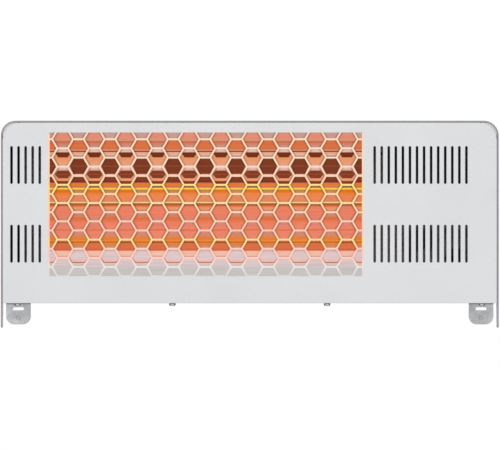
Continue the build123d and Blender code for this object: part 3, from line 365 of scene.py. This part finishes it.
def flat_plate(name, outline, y_front, y_back):
    """Closed plate from an outline of (x, z) corners, between two depths."""
    flat = np.array(outline, float)
    count = len(flat)
    front = np.column_stack([flat[:, 0], np.full(count, y_front), flat[:, 1]])
    back = np.column_stack([flat[:, 0], np.full(count, y_back), flat[:, 1]])
    k = np.arange(count)
    rim = np.column_stack([k, k + count, (k + 1) % count + count, (k + 1) % count])
    faces = [k.tolist(), (k[::-1] + count).tolist()] + rim.tolist()
    mesh = bpy.data.meshes.new(name)
    mesh.from_pydata(np.vstack([front, back]).tolist(), [], faces)
    mesh.update()
    plate = bpy.data.objects.new(name, mesh)
    bpy.context.scene.collection.objects.link(plate)
    return plate


def bend(centre, radius, angles):
    """Points of an arc about a centre in X and Z, angles in degrees."""
    turn = np.radians(angles)
    return np.column_stack([centre[0] + radius * np.cos(turn), centre[1] + radius * np.sin(turn)])


# The gussets stand in for the shaded gap at each corner; their coat is a darker copy of the fascia
# paint, as painted shade.
gusset_shade_coat = powder_coat("gusset shade coat", srgb(208, 209, 211), srgb(214, 215, 217), 0.5)
outer_arc = bend(HOOD_CORNER, HOOD_BEND, np.linspace(90.0 - GUSSET_TIP, GUSSET_TIP, GUSSET_STEPS))
inner_arc = bend(FASCIA_CORNER, FASCIA_BEND, np.linspace(GUSSET_TIP, 90.0 - GUSSET_TIP, GUSSET_STEPS))
crescent = np.vstack([outer_arc, inner_arc])
for side, name in ((-1, "corner_gusset_left"), (1, "corner_gusset_right")):
    outline = crescent if side > 0 else crescent[::-1] * (-1.0, 1.0)
    gusset = flat_plate(name, outline, *GUSSET_Y)
    gusset.data.materials.append(gusset_shade_coat)
    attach(gusset, "heater")

# Guard over the window.
# Punched from 1.5 mm sheet and plated. The strands catch the lamp's warm light, yellow at
# the heights where they cross the tube's image and pale toward the cool bottom edge.
WINDOW_LOW = 0.0397
WINDOW_HIGH = 0.2129


def at_height(z_mm):
    """A height over the wall slots, in millimetres, as its share of the window."""
    return (z_mm / 1000.0 - WINDOW_LOW) / (WINDOW_HIGH - WINDOW_LOW)


def height_share(tree):
    """Height in the window, 0 at its lower edge and 1 at its upper edge, and the coordinates."""
    coords = tree.nodes.new("ShaderNodeTexCoord")
    split = tree.nodes.new("ShaderNodeSeparateXYZ")
    tree.links.new(coords.outputs["Object"], split.inputs["Vector"])
    share = tree.nodes.new("ShaderNodeMapRange")
    share.inputs["From Min"].default_value = WINDOW_LOW
    share.inputs["From Max"].default_value = WINDOW_HIGH
    tree.links.new(split.outputs["Z"], share.inputs["Value"])
    return share.outputs["Result"], split


def by_height(tree, share, stops):
    """Colours by height in the window, given as (millimetres, colour) from low to high."""
    return tones(tree, share, [(at_height(z), colour) for z, colour in stops])


def lit_from_lamp(tree, shader, colour, own_share, glow):
    """Surface that mostly sends back the lamp: little colour of its own, the rest as glow."""
    own = blended(tree, "MULTIPLY", 1.0, colour, (own_share, own_share, own_share, 1.0))
    tree.links.new(own, shader.inputs["Base Color"])
    tree.links.new(colour, shader.inputs["Emission Color"])
    shader.inputs["Emission Strength"].default_value = glow


def lit_guard(name):
    """Plated strands with the lamp's warm light on them, by height, and fine plating grain."""
    finish, tree, shader = new_finish(name, 0.0, 0.5)
    shader.inputs["Specular IOR Level"].default_value = 0.15
    cream = srgb(255, 219, 192)
    peach = srgb(253, 209, 181)
    butter = srgb(255, 224, 142)
    vanilla = srgb(253, 217, 166)
    straw = srgb(255, 222, 156)
    rose = srgb(248, 204, 188)
    cool = srgb(236, 226, 224)
    share, split = height_share(tree)
    glow = by_height(tree, share, [
        (44, srgb(222, 218, 216)), (52, cool), (62, rose), (73, rose), (78, vanilla), (82.4, straw),
        (84.4, straw), (88, vanilla), (93, rose), (116, peach), (124, vanilla), (126.8, straw),
        (128.8, straw), (131, vanilla), (143, vanilla), (145, butter), (150.8, butter),
        (152.5, vanilla), (158, peach), (174, cream), (209, cream),
    ])
    plate = grain(tree, place(tree), 900.0, 3.0, 0.6)
    worn = tones(tree, plate, [(0.3, srgb(238, 234, 230)), (0.7, srgb(255, 255, 255))])
    lit_from_lamp(tree, shader, blended(tree, "MULTIPLY", 0.7, glow, worn), 0.12, 0.96)
    relief(tree, shader, plate, 0.00003, 0.3)
    return finish


dress(lit_guard("lit guard"), "guard_mesh")

# Reflector trough.
# Polished aluminium folded into flat facets behind the lamp. Each facet throws back the
# glowing tube and the guard in front of it, cell by cell, so neighbouring columns of
# hexagons hold different bands, dark images of the cells and thin lines.
COLUMN_X = -0.2255
COLUMN_STEP = 0.0381051
CELL_PITCH = 0.022
CELL_Z = 0.2048
CELL_SIDE = CELL_PITCH / 3 ** 0.5


def cell_columns(tree, split):
    """Distance from the even and the odd column's middle, and which of the two a point is in."""
    across = zigzag(tree, split.outputs["X"], COLUMN_X, COLUMN_STEP)
    even_off = times(tree, across, COLUMN_STEP / 2)
    odd_off = minus(tree, COLUMN_STEP / 2, even_off)
    slope = zigzag(tree, split.outputs["Z"], CELL_Z, CELL_PITCH)
    border = maths(tree, "MULTIPLY_ADD", slope, -CELL_SIDE / 2, CELL_SIDE)
    from_border = minus(tree, even_off, border)
    return even_off, odd_off, soft_step(tree, from_border), size_of(tree, from_border)


def image_in_cell(tree, z, off_middle, below, image, low, high, half_low, half_high):
    """Mirror image laid over the colour below: half-widths at two heights, in millimetres."""
    rise = (half_high - half_low) / (high - low)
    wide = maths(tree, "MULTIPLY_ADD", z, rise, (half_low - low * rise) / 1000.0)
    beside = soft_step(tree, minus(tree, wide, off_middle))
    over = soft_step(tree, minus(tree, z, low / 1000.0))
    under = soft_step(tree, minus(tree, high / 1000.0, z))
    inside = maths(tree, "MINIMUM", beside, maths(tree, "MINIMUM", over, under))
    return blended(tree, "MIX", inside, below, image)


BORDER_INNER = 0.0010
BORDER_OUTER = 0.0042
BORDER_SHARE = 0.8


def painted_border_reflections(tree, share, from_border, colour):
    """Painted reflection of the strands' flanks, in brown along the slanted borders, gone in the cool
    foot.
    """
    near = tree.nodes.new("ShaderNodeMapRange")
    near.inputs["From Min"].default_value = BORDER_INNER
    near.inputs["From Max"].default_value = BORDER_OUTER
    near.inputs["To Min"].default_value = BORDER_SHARE
    near.inputs["To Max"].default_value = 0.0
    tree.links.new(from_border, near.inputs["Value"])
    warm_part = by_height(tree, share, [(58, (0, 0, 0, 1)), (84, (1, 1, 1, 1))])
    rim = times(tree, near.outputs["Result"], warm_part)
    return blended(tree, "MULTIPLY", rim, colour, srgb(172, 160, 158))


UPPER_PART_Z = 0.1886


def polished_facets(name):
    """Bands of two kinds of column, with the images of the guard's cells, over polished metal."""
    finish, tree, shader = new_finish(name, 0.0, 0.4)
    shader.inputs["Specular IOR Level"].default_value = 0.2
    ember = srgb(132, 58, 30)
    ember_deep = srgb(118, 44, 14)
    umber = srgb(112, 62, 40)
    umber_red = srgb(124, 57, 32)
    rust = srgb(172, 92, 64)
    salmon = srgb(224, 146, 120)
    rose_grey = srgb(198, 160, 150)
    burnt = srgb(208, 116, 72)
    copper = srgb(224, 112, 58)
    brick = srgb(206, 98, 70)
    russet = srgb(219, 110, 62)
    mauve = srgb(219, 136, 118)
    tan = srgb(226, 154, 112)
    peach = srgb(231, 164, 134)
    apricot = srgb(238, 160, 116)
    coral = srgb(237, 132, 103)
    amber = srgb(231, 124, 42)
    clay = srgb(214, 120, 88)
    olive = srgb(138, 108, 40)
    blush = srgb(243, 190, 170)
    flame = srgb(238, 140, 50)
    dusk = srgb(206, 140, 116)
    lilac = srgb(224, 200, 202)
    warm_grey = srgb(208, 198, 195)
    cool_grey = srgb(198, 198, 198)
    share, split = height_share(tree)
    z = split.outputs["Z"]
    even_off, odd_off, side, from_border = cell_columns(tree, split)

    even = by_height(tree, share, [
        (48, cool_grey), (58, lilac), (62, lilac), (65, blush), (70.0, blush), (71.4, clay),
        (78.4, amber), (80.4, ember_deep), (81.6, burnt), (85, coral), (94.8, coral), (95.4, rust),
        (96.2, coral), (123.4, coral), (125.2, rust), (147.0, olive), (148.4, olive),
        (149.8, peach), (156.6, apricot), (159.4, peach), (167, peach), (170.5, lilac),
        (174, peach),
        (178, apricot), (182.6, tan), (185, peach), (190.4, blush), (191.4, warm_grey),
        (194, rose_grey), (200.8, clay), (201.8, rust), (203, salmon),
    ])
    # Painted reflection for the foot of the even cells.
    foot_cell_reflection = by_height(tree, share, [(70.5, brick), (74, russet), (79, russet)])
    for image, *shape in (
            (foot_cell_reflection, 70.4, 79.8, 11.6, 10.0),
            (dusk, 63.2, 64.1, 7.4, 7.4),
            (mauve, 100.8, 104.6, 9.4, 7.2),
            (mauve, 107.2, 110.6, 7.2, 9.2),
            (ember, 151.2, 154.6, 9.2, 8.0),
            (ember, 157.8, 162.6, 5.8, 10.0),
            (ember, 162.6, 167.2, 10.0, 6.2),
            (ember_deep, 183.0, 189.2, 5.8, 10.0)):
        even = image_in_cell(tree, z, even_off, even, image, *shape)

    odd = by_height(tree, share, [
        (47, cool_grey), (54, warm_grey), (56.5, blush), (62, lilac), (69.4, lilac),
        (70.6, rose_grey), (71.6, warm_grey), (75, dusk), (78, amber), (79.9, flame),
        (80.7, ember_deep), (81.6, flame), (85, amber), (90, dusk), (95, coral),
        (103.5, coral), (109.4, copper), (113, dusk), (118, dusk), (122, apricot),
        (124.2, amber), (125.4, rust), (147, burnt), (150, amber), (153, clay),
        (156, peach), (160.8, blush), (163, blush), (182, rose_grey), (184.6, umber),
        (185.4, blush), (188.6, peach),
    ])
    upper = by_height(tree, share, [
        (188.6, peach), (191.4, blush), (192.4, burnt), (193.6, copper), (194.4, burnt),
        (196, copper), (197.2, clay), (198.4, copper), (199.4, burnt), (201.4, copper),
        (202.8, burnt), (203.8, rose_grey), (211.4, rose_grey),
    ])
    above = soft_step(tree, minus(tree, z, UPPER_PART_Z))
    odd = blended(tree, "MIX", above, odd, upper)
    ghost = by_height(tree, share, [(57, blush), (60, lilac), (62.4, lilac)])
    # Painted reflection of a dark cell in the odd columns.
    dark_cell_reflection = by_height(tree, share, [
        (151.6, burnt), (153.2, ember_deep), (156, ember), (159, umber),
    ])
    for image, *shape in (
            (rust, 55.8, 62.2, 8.4, 12.6),
            (ghost, 56.9, 62.6, 7.6, 11.6),
            (dark_cell_reflection, 152.4, 159.5, 9.8, 6.4),
            (umber_red, 163.0, 172.6, 6.6, 10.8),
            (umber_red, 172.6, 181.4, 10.8, 6.2),
            (ember_deep, 189.6, 191.2, 9.8, 9.2)):
        odd = image_in_cell(tree, z, odd_off, odd, image, *shape)

    bands = blended(tree, "MIX", side, even, odd)
    bands = painted_border_reflections(tree, share, from_border, bands)
    rolled = grain(tree, place(tree, (1.0, 40.0, 70.0)), 22.0, 4.0, 0.7)
    streak = tones(tree, rolled, [(0.3, srgb(214, 206, 200)), (0.68, srgb(255, 255, 255))])
    lit_from_lamp(tree, shader, blended(tree, "MULTIPLY", 0.7, bands, streak), 0.10, 1.0)
    rough_between(tree, shader, rolled, 0.3, 0.45)
    return finish


def brushed_plate(name, dark, light):
    """Drawn aluminium: long fine lines along the sheet."""
    finish, tree, shader = new_finish(name, 0.8, 0.3)
    lines = grain(tree, place(tree, (30.0, 2.0, 40.0)), 30.0, 4.0, 0.6)
    tree.links.new(tones(tree, lines, [(0.3, dark), (0.7, light)]), shader.inputs["Base Color"])
    rough_between(tree, shader, lines, 0.24, 0.42)
    relief(tree, shader, lines, 0.00003, 0.3)
    return finish


facet_finish = polished_facets("polished facets")
trough_back = brushed_plate("trough back", srgb(104, 102, 100), srgb(132, 130, 128))
dress(facet_finish, "reflector")

# The trough's outer side is bare metal: only faces that look at the lamp or the room are lit.
LAMP_AXIS = np.mean(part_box("lamp_tube"), axis=0)
FRONT_FACING = -0.1
trough = nodes["reflector"].data
trough.materials.append(trough_back)
looks, middles = np.empty((2, len(trough.polygons), 3))
trough.polygons.foreach_get("normal", looks.reshape(-1))
trough.polygons.foreach_get("center", middles.reshape(-1))
to_lamp = (LAMP_AXIS - middles) * (0.0, 1.0, 1.0)
lit = (np.sum(looks * to_lamp, axis=1) > 0.0) | (looks[:, 1] < FRONT_FACING)
trough.polygons.foreach_set("material_index", np.where(lit, 0, 1).astype(np.int32))

end_finish = brushed_plate("end plate", srgb(120, 96, 84), srgb(150, 122, 106))
dress(end_finish, "end_plate_left", "end_plate_right")

# Lamp tube.
# Clear quartz, 18.5 mm across, drawn to a thin wall and closed by ceramic caps. Lit, its
# two edges burn yellow and the middle glows orange. It is one closed wall, outside and bore.
tube_low, tube_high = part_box("lamp_tube")
TUBE_Y = (tube_low[1] + tube_high[1]) / 2
TUBE_Z = (tube_low[2] + tube_high[2]) / 2
TUBE_R = (tube_high[2] - tube_low[2]) / 2
TUBE_WALL = 0.0012
TUBE_BEVEL_R = 0.0003
TUBE_BEVEL_X = 0.0004


def turned_about_x(name, profile, around, centre_y, centre_z):
    """Closed surface: a profile of (x, radius) rows turned about the X line, angle by angle."""
    rows = np.array(profile, float)
    turn = np.linspace(0.0, 2 * np.pi, around, endpoint=False)
    x = np.repeat(rows[:, 0][:, None], around, axis=1)
    y = centre_y + rows[:, 1][:, None] * np.cos(turn)[None, :]
    z = centre_z + rows[:, 1][:, None] * np.sin(turn)[None, :]
    points = np.stack([x, y, z], axis=2).reshape(-1, 3)
    i = np.arange(len(rows))[:, None]
    j = np.arange(around)[None, :]
    ni = (i + 1) % len(rows)
    nj = (j + 1) % around
    faces = np.stack([i * around + j, i * around + nj, ni * around + nj, ni * around + j], axis=2)
    mesh = bpy.data.meshes.new(name)
    mesh.from_pydata(points.tolist(), [], faces.reshape(-1, 4).tolist())
    mesh.polygons.foreach_set("use_smooth", np.ones(len(mesh.polygons), bool))
    mesh.update()
    piece = bpy.data.objects.new(name, mesh)
    bpy.context.scene.collection.objects.link(piece)
    return piece


def glowing_quartz(name):
    """Quartz lit from inside: yellow edge lines and an orange belly, by kind of column."""
    finish, tree, shader = new_finish(name, 0.0, 0.2)
    shader.inputs["Specular IOR Level"].default_value = 0.15
    butter = srgb(254, 214, 146)
    brass_line = srgb(250, 202, 92)
    flame = srgb(222, 118, 22)
    ginger = srgb(236, 128, 54)
    gold = srgb(182, 130, 36)
    orange = srgb(240, 134, 86)
    dusk = srgb(210, 140, 104)
    share, split = height_share(tree)
    even_off, odd_off, side, from_border = cell_columns(tree, split)
    even = by_height(tree, share, [
        (127.2, butter), (128.6, butter), (129.6, dusk), (132, orange), (135, orange),
        (139, ginger), (141.5, flame), (144.0, flame), (144.6, brass_line), (146.4, brass_line),
    ])
    odd = by_height(tree, share, [
        (127.2, butter), (128.6, butter), (129.8, dusk), (133, orange), (137, dusk),
        (140.5, dusk), (143.6, gold), (144.4, brass_line), (146.4, brass_line),
    ])
    wisp = grain(tree, place(tree, (1.0, 30.0, 30.0)), 16.0, 3.0, 0.5)
    haze = tones(tree, wisp, [(0.3, srgb(238, 234, 230)), (0.7, srgb(255, 255, 255))])
    # Painted reflection of the strands' flanks along the cell borders.
    tube = painted_border_reflections(tree, share, from_border, blended(tree, "MIX", side, even, odd))
    lit_from_lamp(tree, shader, blended(tree, "MULTIPLY", 0.5, tube, haze), 0.06, 0.96)
    rough_between(tree, shader, wisp, 0.15, 0.3)
    return finish


quartz_profile = [
    (tube_low[0], TUBE_R - TUBE_WALL), (tube_low[0], TUBE_R - TUBE_BEVEL_R),
    (tube_low[0] + TUBE_BEVEL_X, TUBE_R), (tube_high[0] - TUBE_BEVEL_X, TUBE_R),
    (tube_high[0], TUBE_R - TUBE_BEVEL_R), (tube_high[0], TUBE_R - TUBE_WALL),
]
quartz = turned_about_x("quartz_tube", quartz_profile, 64, TUBE_Y, TUBE_Z)
quartz.data.materials.append(glowing_quartz("glowing quartz"))
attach(quartz, "heater")
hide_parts("lamp_tube")

# Small steel parts, ceramic, leads and the control room.
# Screws are bright zinc plated; lamp caps, terminal block are unglazed ceramic; the leads
# have woven glass sleeves.
def bright_plating(name, dark, light):
    """Zinc plating with fine turned marks."""
    finish, tree, shader = new_finish(name, 0.85, 0.3)
    marks = grain(tree, place(tree), 1400.0, 3.0, 0.6)
    tree.links.new(tones(tree, marks, [(0.3, dark), (0.7, light)]), shader.inputs["Base Color"])
    rough_between(tree, shader, marks, 0.22, 0.42)
    relief(tree, shader, marks, 0.00002, 0.3)
    return finish


screw_zinc = bright_plating("screw zinc", srgb(150, 150, 152), srgb(206, 206, 208))
dress(screw_zinc, "guard_screws", "back_panel_screws", "pivot_bolts", "lock_screws")
# The zinc of the inner nuts, posts, holders and rivets is darkened as painted shade for the inside of
# the body.
shaded_zinc = bright_plating("shaded zinc", srgb(62, 62, 64), srgb(92, 92, 94))
dress(shaded_zinc, "fascia_clinch_nuts", "reflector_posts", "lamp_holder_left", "lamp_holder_right",
      "lamp_holder_screws", "pivot_nuts", "lock_nuts", "end_plate_rivets")
HEAD_MIDDLE_Z = 0.0053
HEAD_FIRST_X = -0.27975
HEAD_STEP_X = 0.1865
HEAD_REACH_X = 0.0040
HEAD_REACH_Z = 0.0018


def heads_with_painted_highlight(name):
    """Pan heads with a painted highlight in the middle and painted shade round the crown and under the
    rim.
    """
    finish, tree, shader = new_finish(name, 0.2, 0.35)
    x, y, z = sorted_out(tree)
    off_x = times(tree, zigzag(tree, x, HEAD_FIRST_X, HEAD_STEP_X), HEAD_STEP_X / 2)
    off_z = size_of(tree, minus(tree, z, HEAD_MIDDLE_Z))
    away = maths(tree, "MAXIMUM", maths(tree, "DIVIDE", off_x, HEAD_REACH_X),
                 maths(tree, "DIVIDE", off_z, HEAD_REACH_Z))
    # Painted highlight in the middle and painted shade towards the rim.
    highlight_and_shade = tones(tree, away, [
        (0.0, srgb(236, 237, 239)), (0.45, srgb(222, 223, 225)), (0.62, srgb(110, 111, 114)),
        (1.0, srgb(76, 77, 80)),
    ])
    marks = grain(tree, place(tree), 1400.0, 3.0, 0.6)
    worn = tones(tree, marks, [(0.3, srgb(220, 220, 222)), (0.7, srgb(255, 255, 255))])
    tree.links.new(blended(tree, "MULTIPLY", 0.8, highlight_and_shade, worn), shader.inputs["Base Color"])
    rough_between(tree, shader, marks, 0.28, 0.45)
    return finish


dress(heads_with_painted_highlight("heads with painted highlight"), "fascia_screws")
# Brass darkened as painted shade for the inside of the body.
brass = bright_plating("turned brass", srgb(74, 58, 30), srgb(96, 78, 44))
dress(brass, "board_standoffs", "terminal_screws", "earth_stud", "thermal_cutout")
extruded = bright_plating("black anodised", srgb(24, 24, 26), srgb(40, 40, 42))
dress(extruded, "heatsink")


def mottled(name, dark, light, roughness, scale, depth):
    """Plain stuff with a mottled tone and a fine tooth: ceramic, plastic, rubber, sleeve."""
    finish, tree, shader = new_finish(name, 0.0, roughness)
    tooth = grain(tree, place(tree), scale, 4.0, 0.6)
    tree.links.new(tones(tree, tooth, [(0.3, dark), (0.72, light)]), shader.inputs["Base Color"])
    rough_between(tree, shader, tooth, roughness - 0.08, roughness + 0.08)
    relief(tree, shader, tooth, depth, 0.35)
    return finish


steatite = mottled("steatite", srgb(216, 210, 198), srgb(234, 230, 220), 0.6, 500.0, 0.00005)
dress(steatite, "lamp_end_caps")
moulded = mottled("moulded black", srgb(22, 22, 24), srgb(38, 38, 40), 0.5, 700.0, 0.00004)
dress(moulded, "cable_gland", "gland_locknut", "relay", "triac", "pivot_spacers", "lock_spacers")
# The terminal block is darkened as painted shade for the inside of the body.
shaded_block = mottled("shaded block", srgb(46, 42, 38), srgb(62, 58, 54), 0.5, 500.0, 0.00004)
dress(shaded_block, "terminal_block")
rubber = mottled("grommet rubber", srgb(20, 20, 20), srgb(36, 35, 34), 0.8, 600.0, 0.00005)
dress(rubber, "lead_grommets")
sleeve = mottled("glass sleeve", srgb(58, 54, 50), srgb(84, 80, 74), 0.85, 900.0, 0.00012)
dress(sleeve, "lamp_lead_left", "lamp_lead_right", "supply_wires")
# The board is near black as painted shade: a dark sheet where the inside of the body is in shade.
lacquer = mottled("board lacquer", srgb(12, 22, 18), srgb(22, 34, 28), 0.5, 260.0, 0.00003)
dress(lacquer, "control_board")
ember_wire = mottled("ember wire", srgb(255, 150, 50), srgb(255, 200, 100), 0.6, 300.0, 0.00004)
dress(ember_wire, "lamp_element")

# Blank of the cable gland.
# A soft rubber disc that fills the gland's bore while no cord is fitted, so that dust stays
# out. It is moulded with a shallow dish in both faces.
gland_low, gland_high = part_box("cable_gland")
BORE_R = 0.004
BLANK_FIT = 0.0001
BLANK_BACK = gland_high[1] - 0.002
BLANK_FRONT = BLANK_BACK - 0.005
DISH_R = 0.0022
DISH_DEPTH = 0.0008
DISH_SLOPE = 0.0006
HUB_R = 0.0003


def dished_disc(name, radius, dish, depth, y_front, y_back, centre_x, centre_z, around=48):
    """Closed disc about the Y line, with a dish of the given depth in both faces."""
    rows = np.array([
        (y_front + depth, HUB_R), (y_front + depth, dish), (y_front, dish + DISH_SLOPE),
        (y_front, radius), (y_back, radius), (y_back, dish + DISH_SLOPE),
        (y_back - depth, dish), (y_back - depth, HUB_R),
    ])
    turn = np.linspace(0.0, 2 * np.pi, around, endpoint=False)
    x = centre_x + rows[:, 1][:, None] * np.cos(turn)[None, :]
    z = centre_z + rows[:, 1][:, None] * np.sin(turn)[None, :]
    y = np.repeat(rows[:, 0][:, None], around, axis=1)
    points = np.stack([x, y, z], axis=2).reshape(-1, 3)
    i = np.arange(len(rows) - 1)[:, None]
    j = np.arange(around)[None, :]
    nj = (j + 1) % around
    near, far = i * around, (i + 1) * around
    walls = np.stack([near + j, near + nj, far + nj, far + j], axis=2)
    k = np.arange(around)
    lids = [k[::-1].tolist(), (k + (len(rows) - 1) * around).tolist()]
    mesh = bpy.data.meshes.new(name)
    mesh.from_pydata(points.tolist(), [], walls.reshape(-1, 4).tolist() + lids)
    mesh.update()
    disc = bpy.data.objects.new(name, mesh)
    bpy.context.scene.collection.objects.link(disc)
    return disc


blank = dished_disc("gland_blank", BORE_R - BLANK_FIT, DISH_R, DISH_DEPTH, BLANK_FRONT, BLANK_BACK,
                    (gland_low[0] + gland_high[0]) / 2, (gland_low[2] + gland_high[2]) / 2)
blank_rubber = mottled("blank rubber", srgb(20, 20, 20), srgb(36, 35, 34), 0.8, 600.0, 0.00005)
blank.data.materials.append(blank_rubber)
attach(blank, "heater")

# Floor, backdrop light and camera.
# A pale floor well under the part, one wide soft light from above in front and two weak
# side lights. The sky shows plain white to the camera, gloss and glass.
FLOOR_HALF = 4.0
FLOOR_Z = -0.45
floor_signs = ((-1, -1), (1, -1), (1, 1), (-1, 1))
floor_corners = [(FLOOR_HALF * a, FLOOR_HALF * b, FLOOR_Z) for a, b in floor_signs]
floor_mesh = bpy.data.meshes.new("floor")
floor_mesh.from_pydata(floor_corners, [], [(0, 1, 2, 3)])
floor = bpy.data.objects.new("floor", floor_mesh)
bpy.context.scene.collection.objects.link(floor)
floor_finish, floor_tree, floor_shader = new_finish("pale floor", 0.0, 0.9)
floor_tone = grain(floor_tree, place(floor_tree), 3.0, 2.0, 0.5)
floor_colour = tones(floor_tree, floor_tone, [(0.3, srgb(244, 244, 244)), (0.7, srgb(250, 250, 250))])
floor_tree.links.new(floor_colour, floor_shader.inputs["Base Color"])
floor_mesh.materials.append(floor_finish)

world = bpy.data.worlds.new("studio")
bpy.context.scene.world = world
world.use_nodes = True
sky = world.node_tree
background = sky.nodes["Background"]
background.inputs["Color"].default_value = (1, 1, 1, 1)
seen = sky.nodes.new("ShaderNodeLightPath")
either = maths(sky, "MAXIMUM", seen.outputs["Is Camera Ray"],
               maths(sky, "MAXIMUM", seen.outputs["Is Glossy Ray"], seen.outputs["Is Transmission Ray"]))
level = sky.nodes.new("ShaderNodeMix")
level.data_type = "FLOAT"
level.inputs["A"].default_value = 0.62
level.inputs["B"].default_value = 1.0
sky.links.new(either, level.inputs["Factor"])
sky.links.new(level.outputs["Result"], background.inputs["Strength"])


def soft_light(name, power, size, at, turn):
    """Square area light."""
    lamp = bpy.data.lights.new(name, "AREA")
    lamp.energy = power
    lamp.size = size
    fixture = bpy.data.objects.new(name, lamp)
    fixture.location = at
    fixture.rotation_euler = turn
    bpy.context.scene.collection.objects.link(fixture)


soft_light("front soft", 34.0, 2.4, (0.3, -2.8, 1.5), (np.radians(64), 0.0, np.radians(6)))
soft_light("left soft", 9.0, 1.6, (-2.2, -1.4, 0.6), (np.radians(82), 0.0, np.radians(-58)))
soft_light("back soft", 10.0, 1.6, (0.6, 2.4, 1.2), (np.radians(-66), 0.0, np.radians(-12)))

VIEW_WIDTH = 0.6024
VIEW_FAR = 25.0
camera_data = bpy.data.cameras.new("camera")
camera_data.sensor_width = 36.0
camera_data.lens = 36.0 * VIEW_FAR / VIEW_WIDTH
camera_data.clip_end = 100.0
camera = bpy.data.objects.new("camera", camera_data)
camera.location = (0.0003, -VIEW_FAR - 0.12, 0.1014)
camera.rotation_euler = (np.pi / 2, 0.0, 0.0)
bpy.context.scene.collection.objects.link(camera)
bpy.context.scene.camera = camera
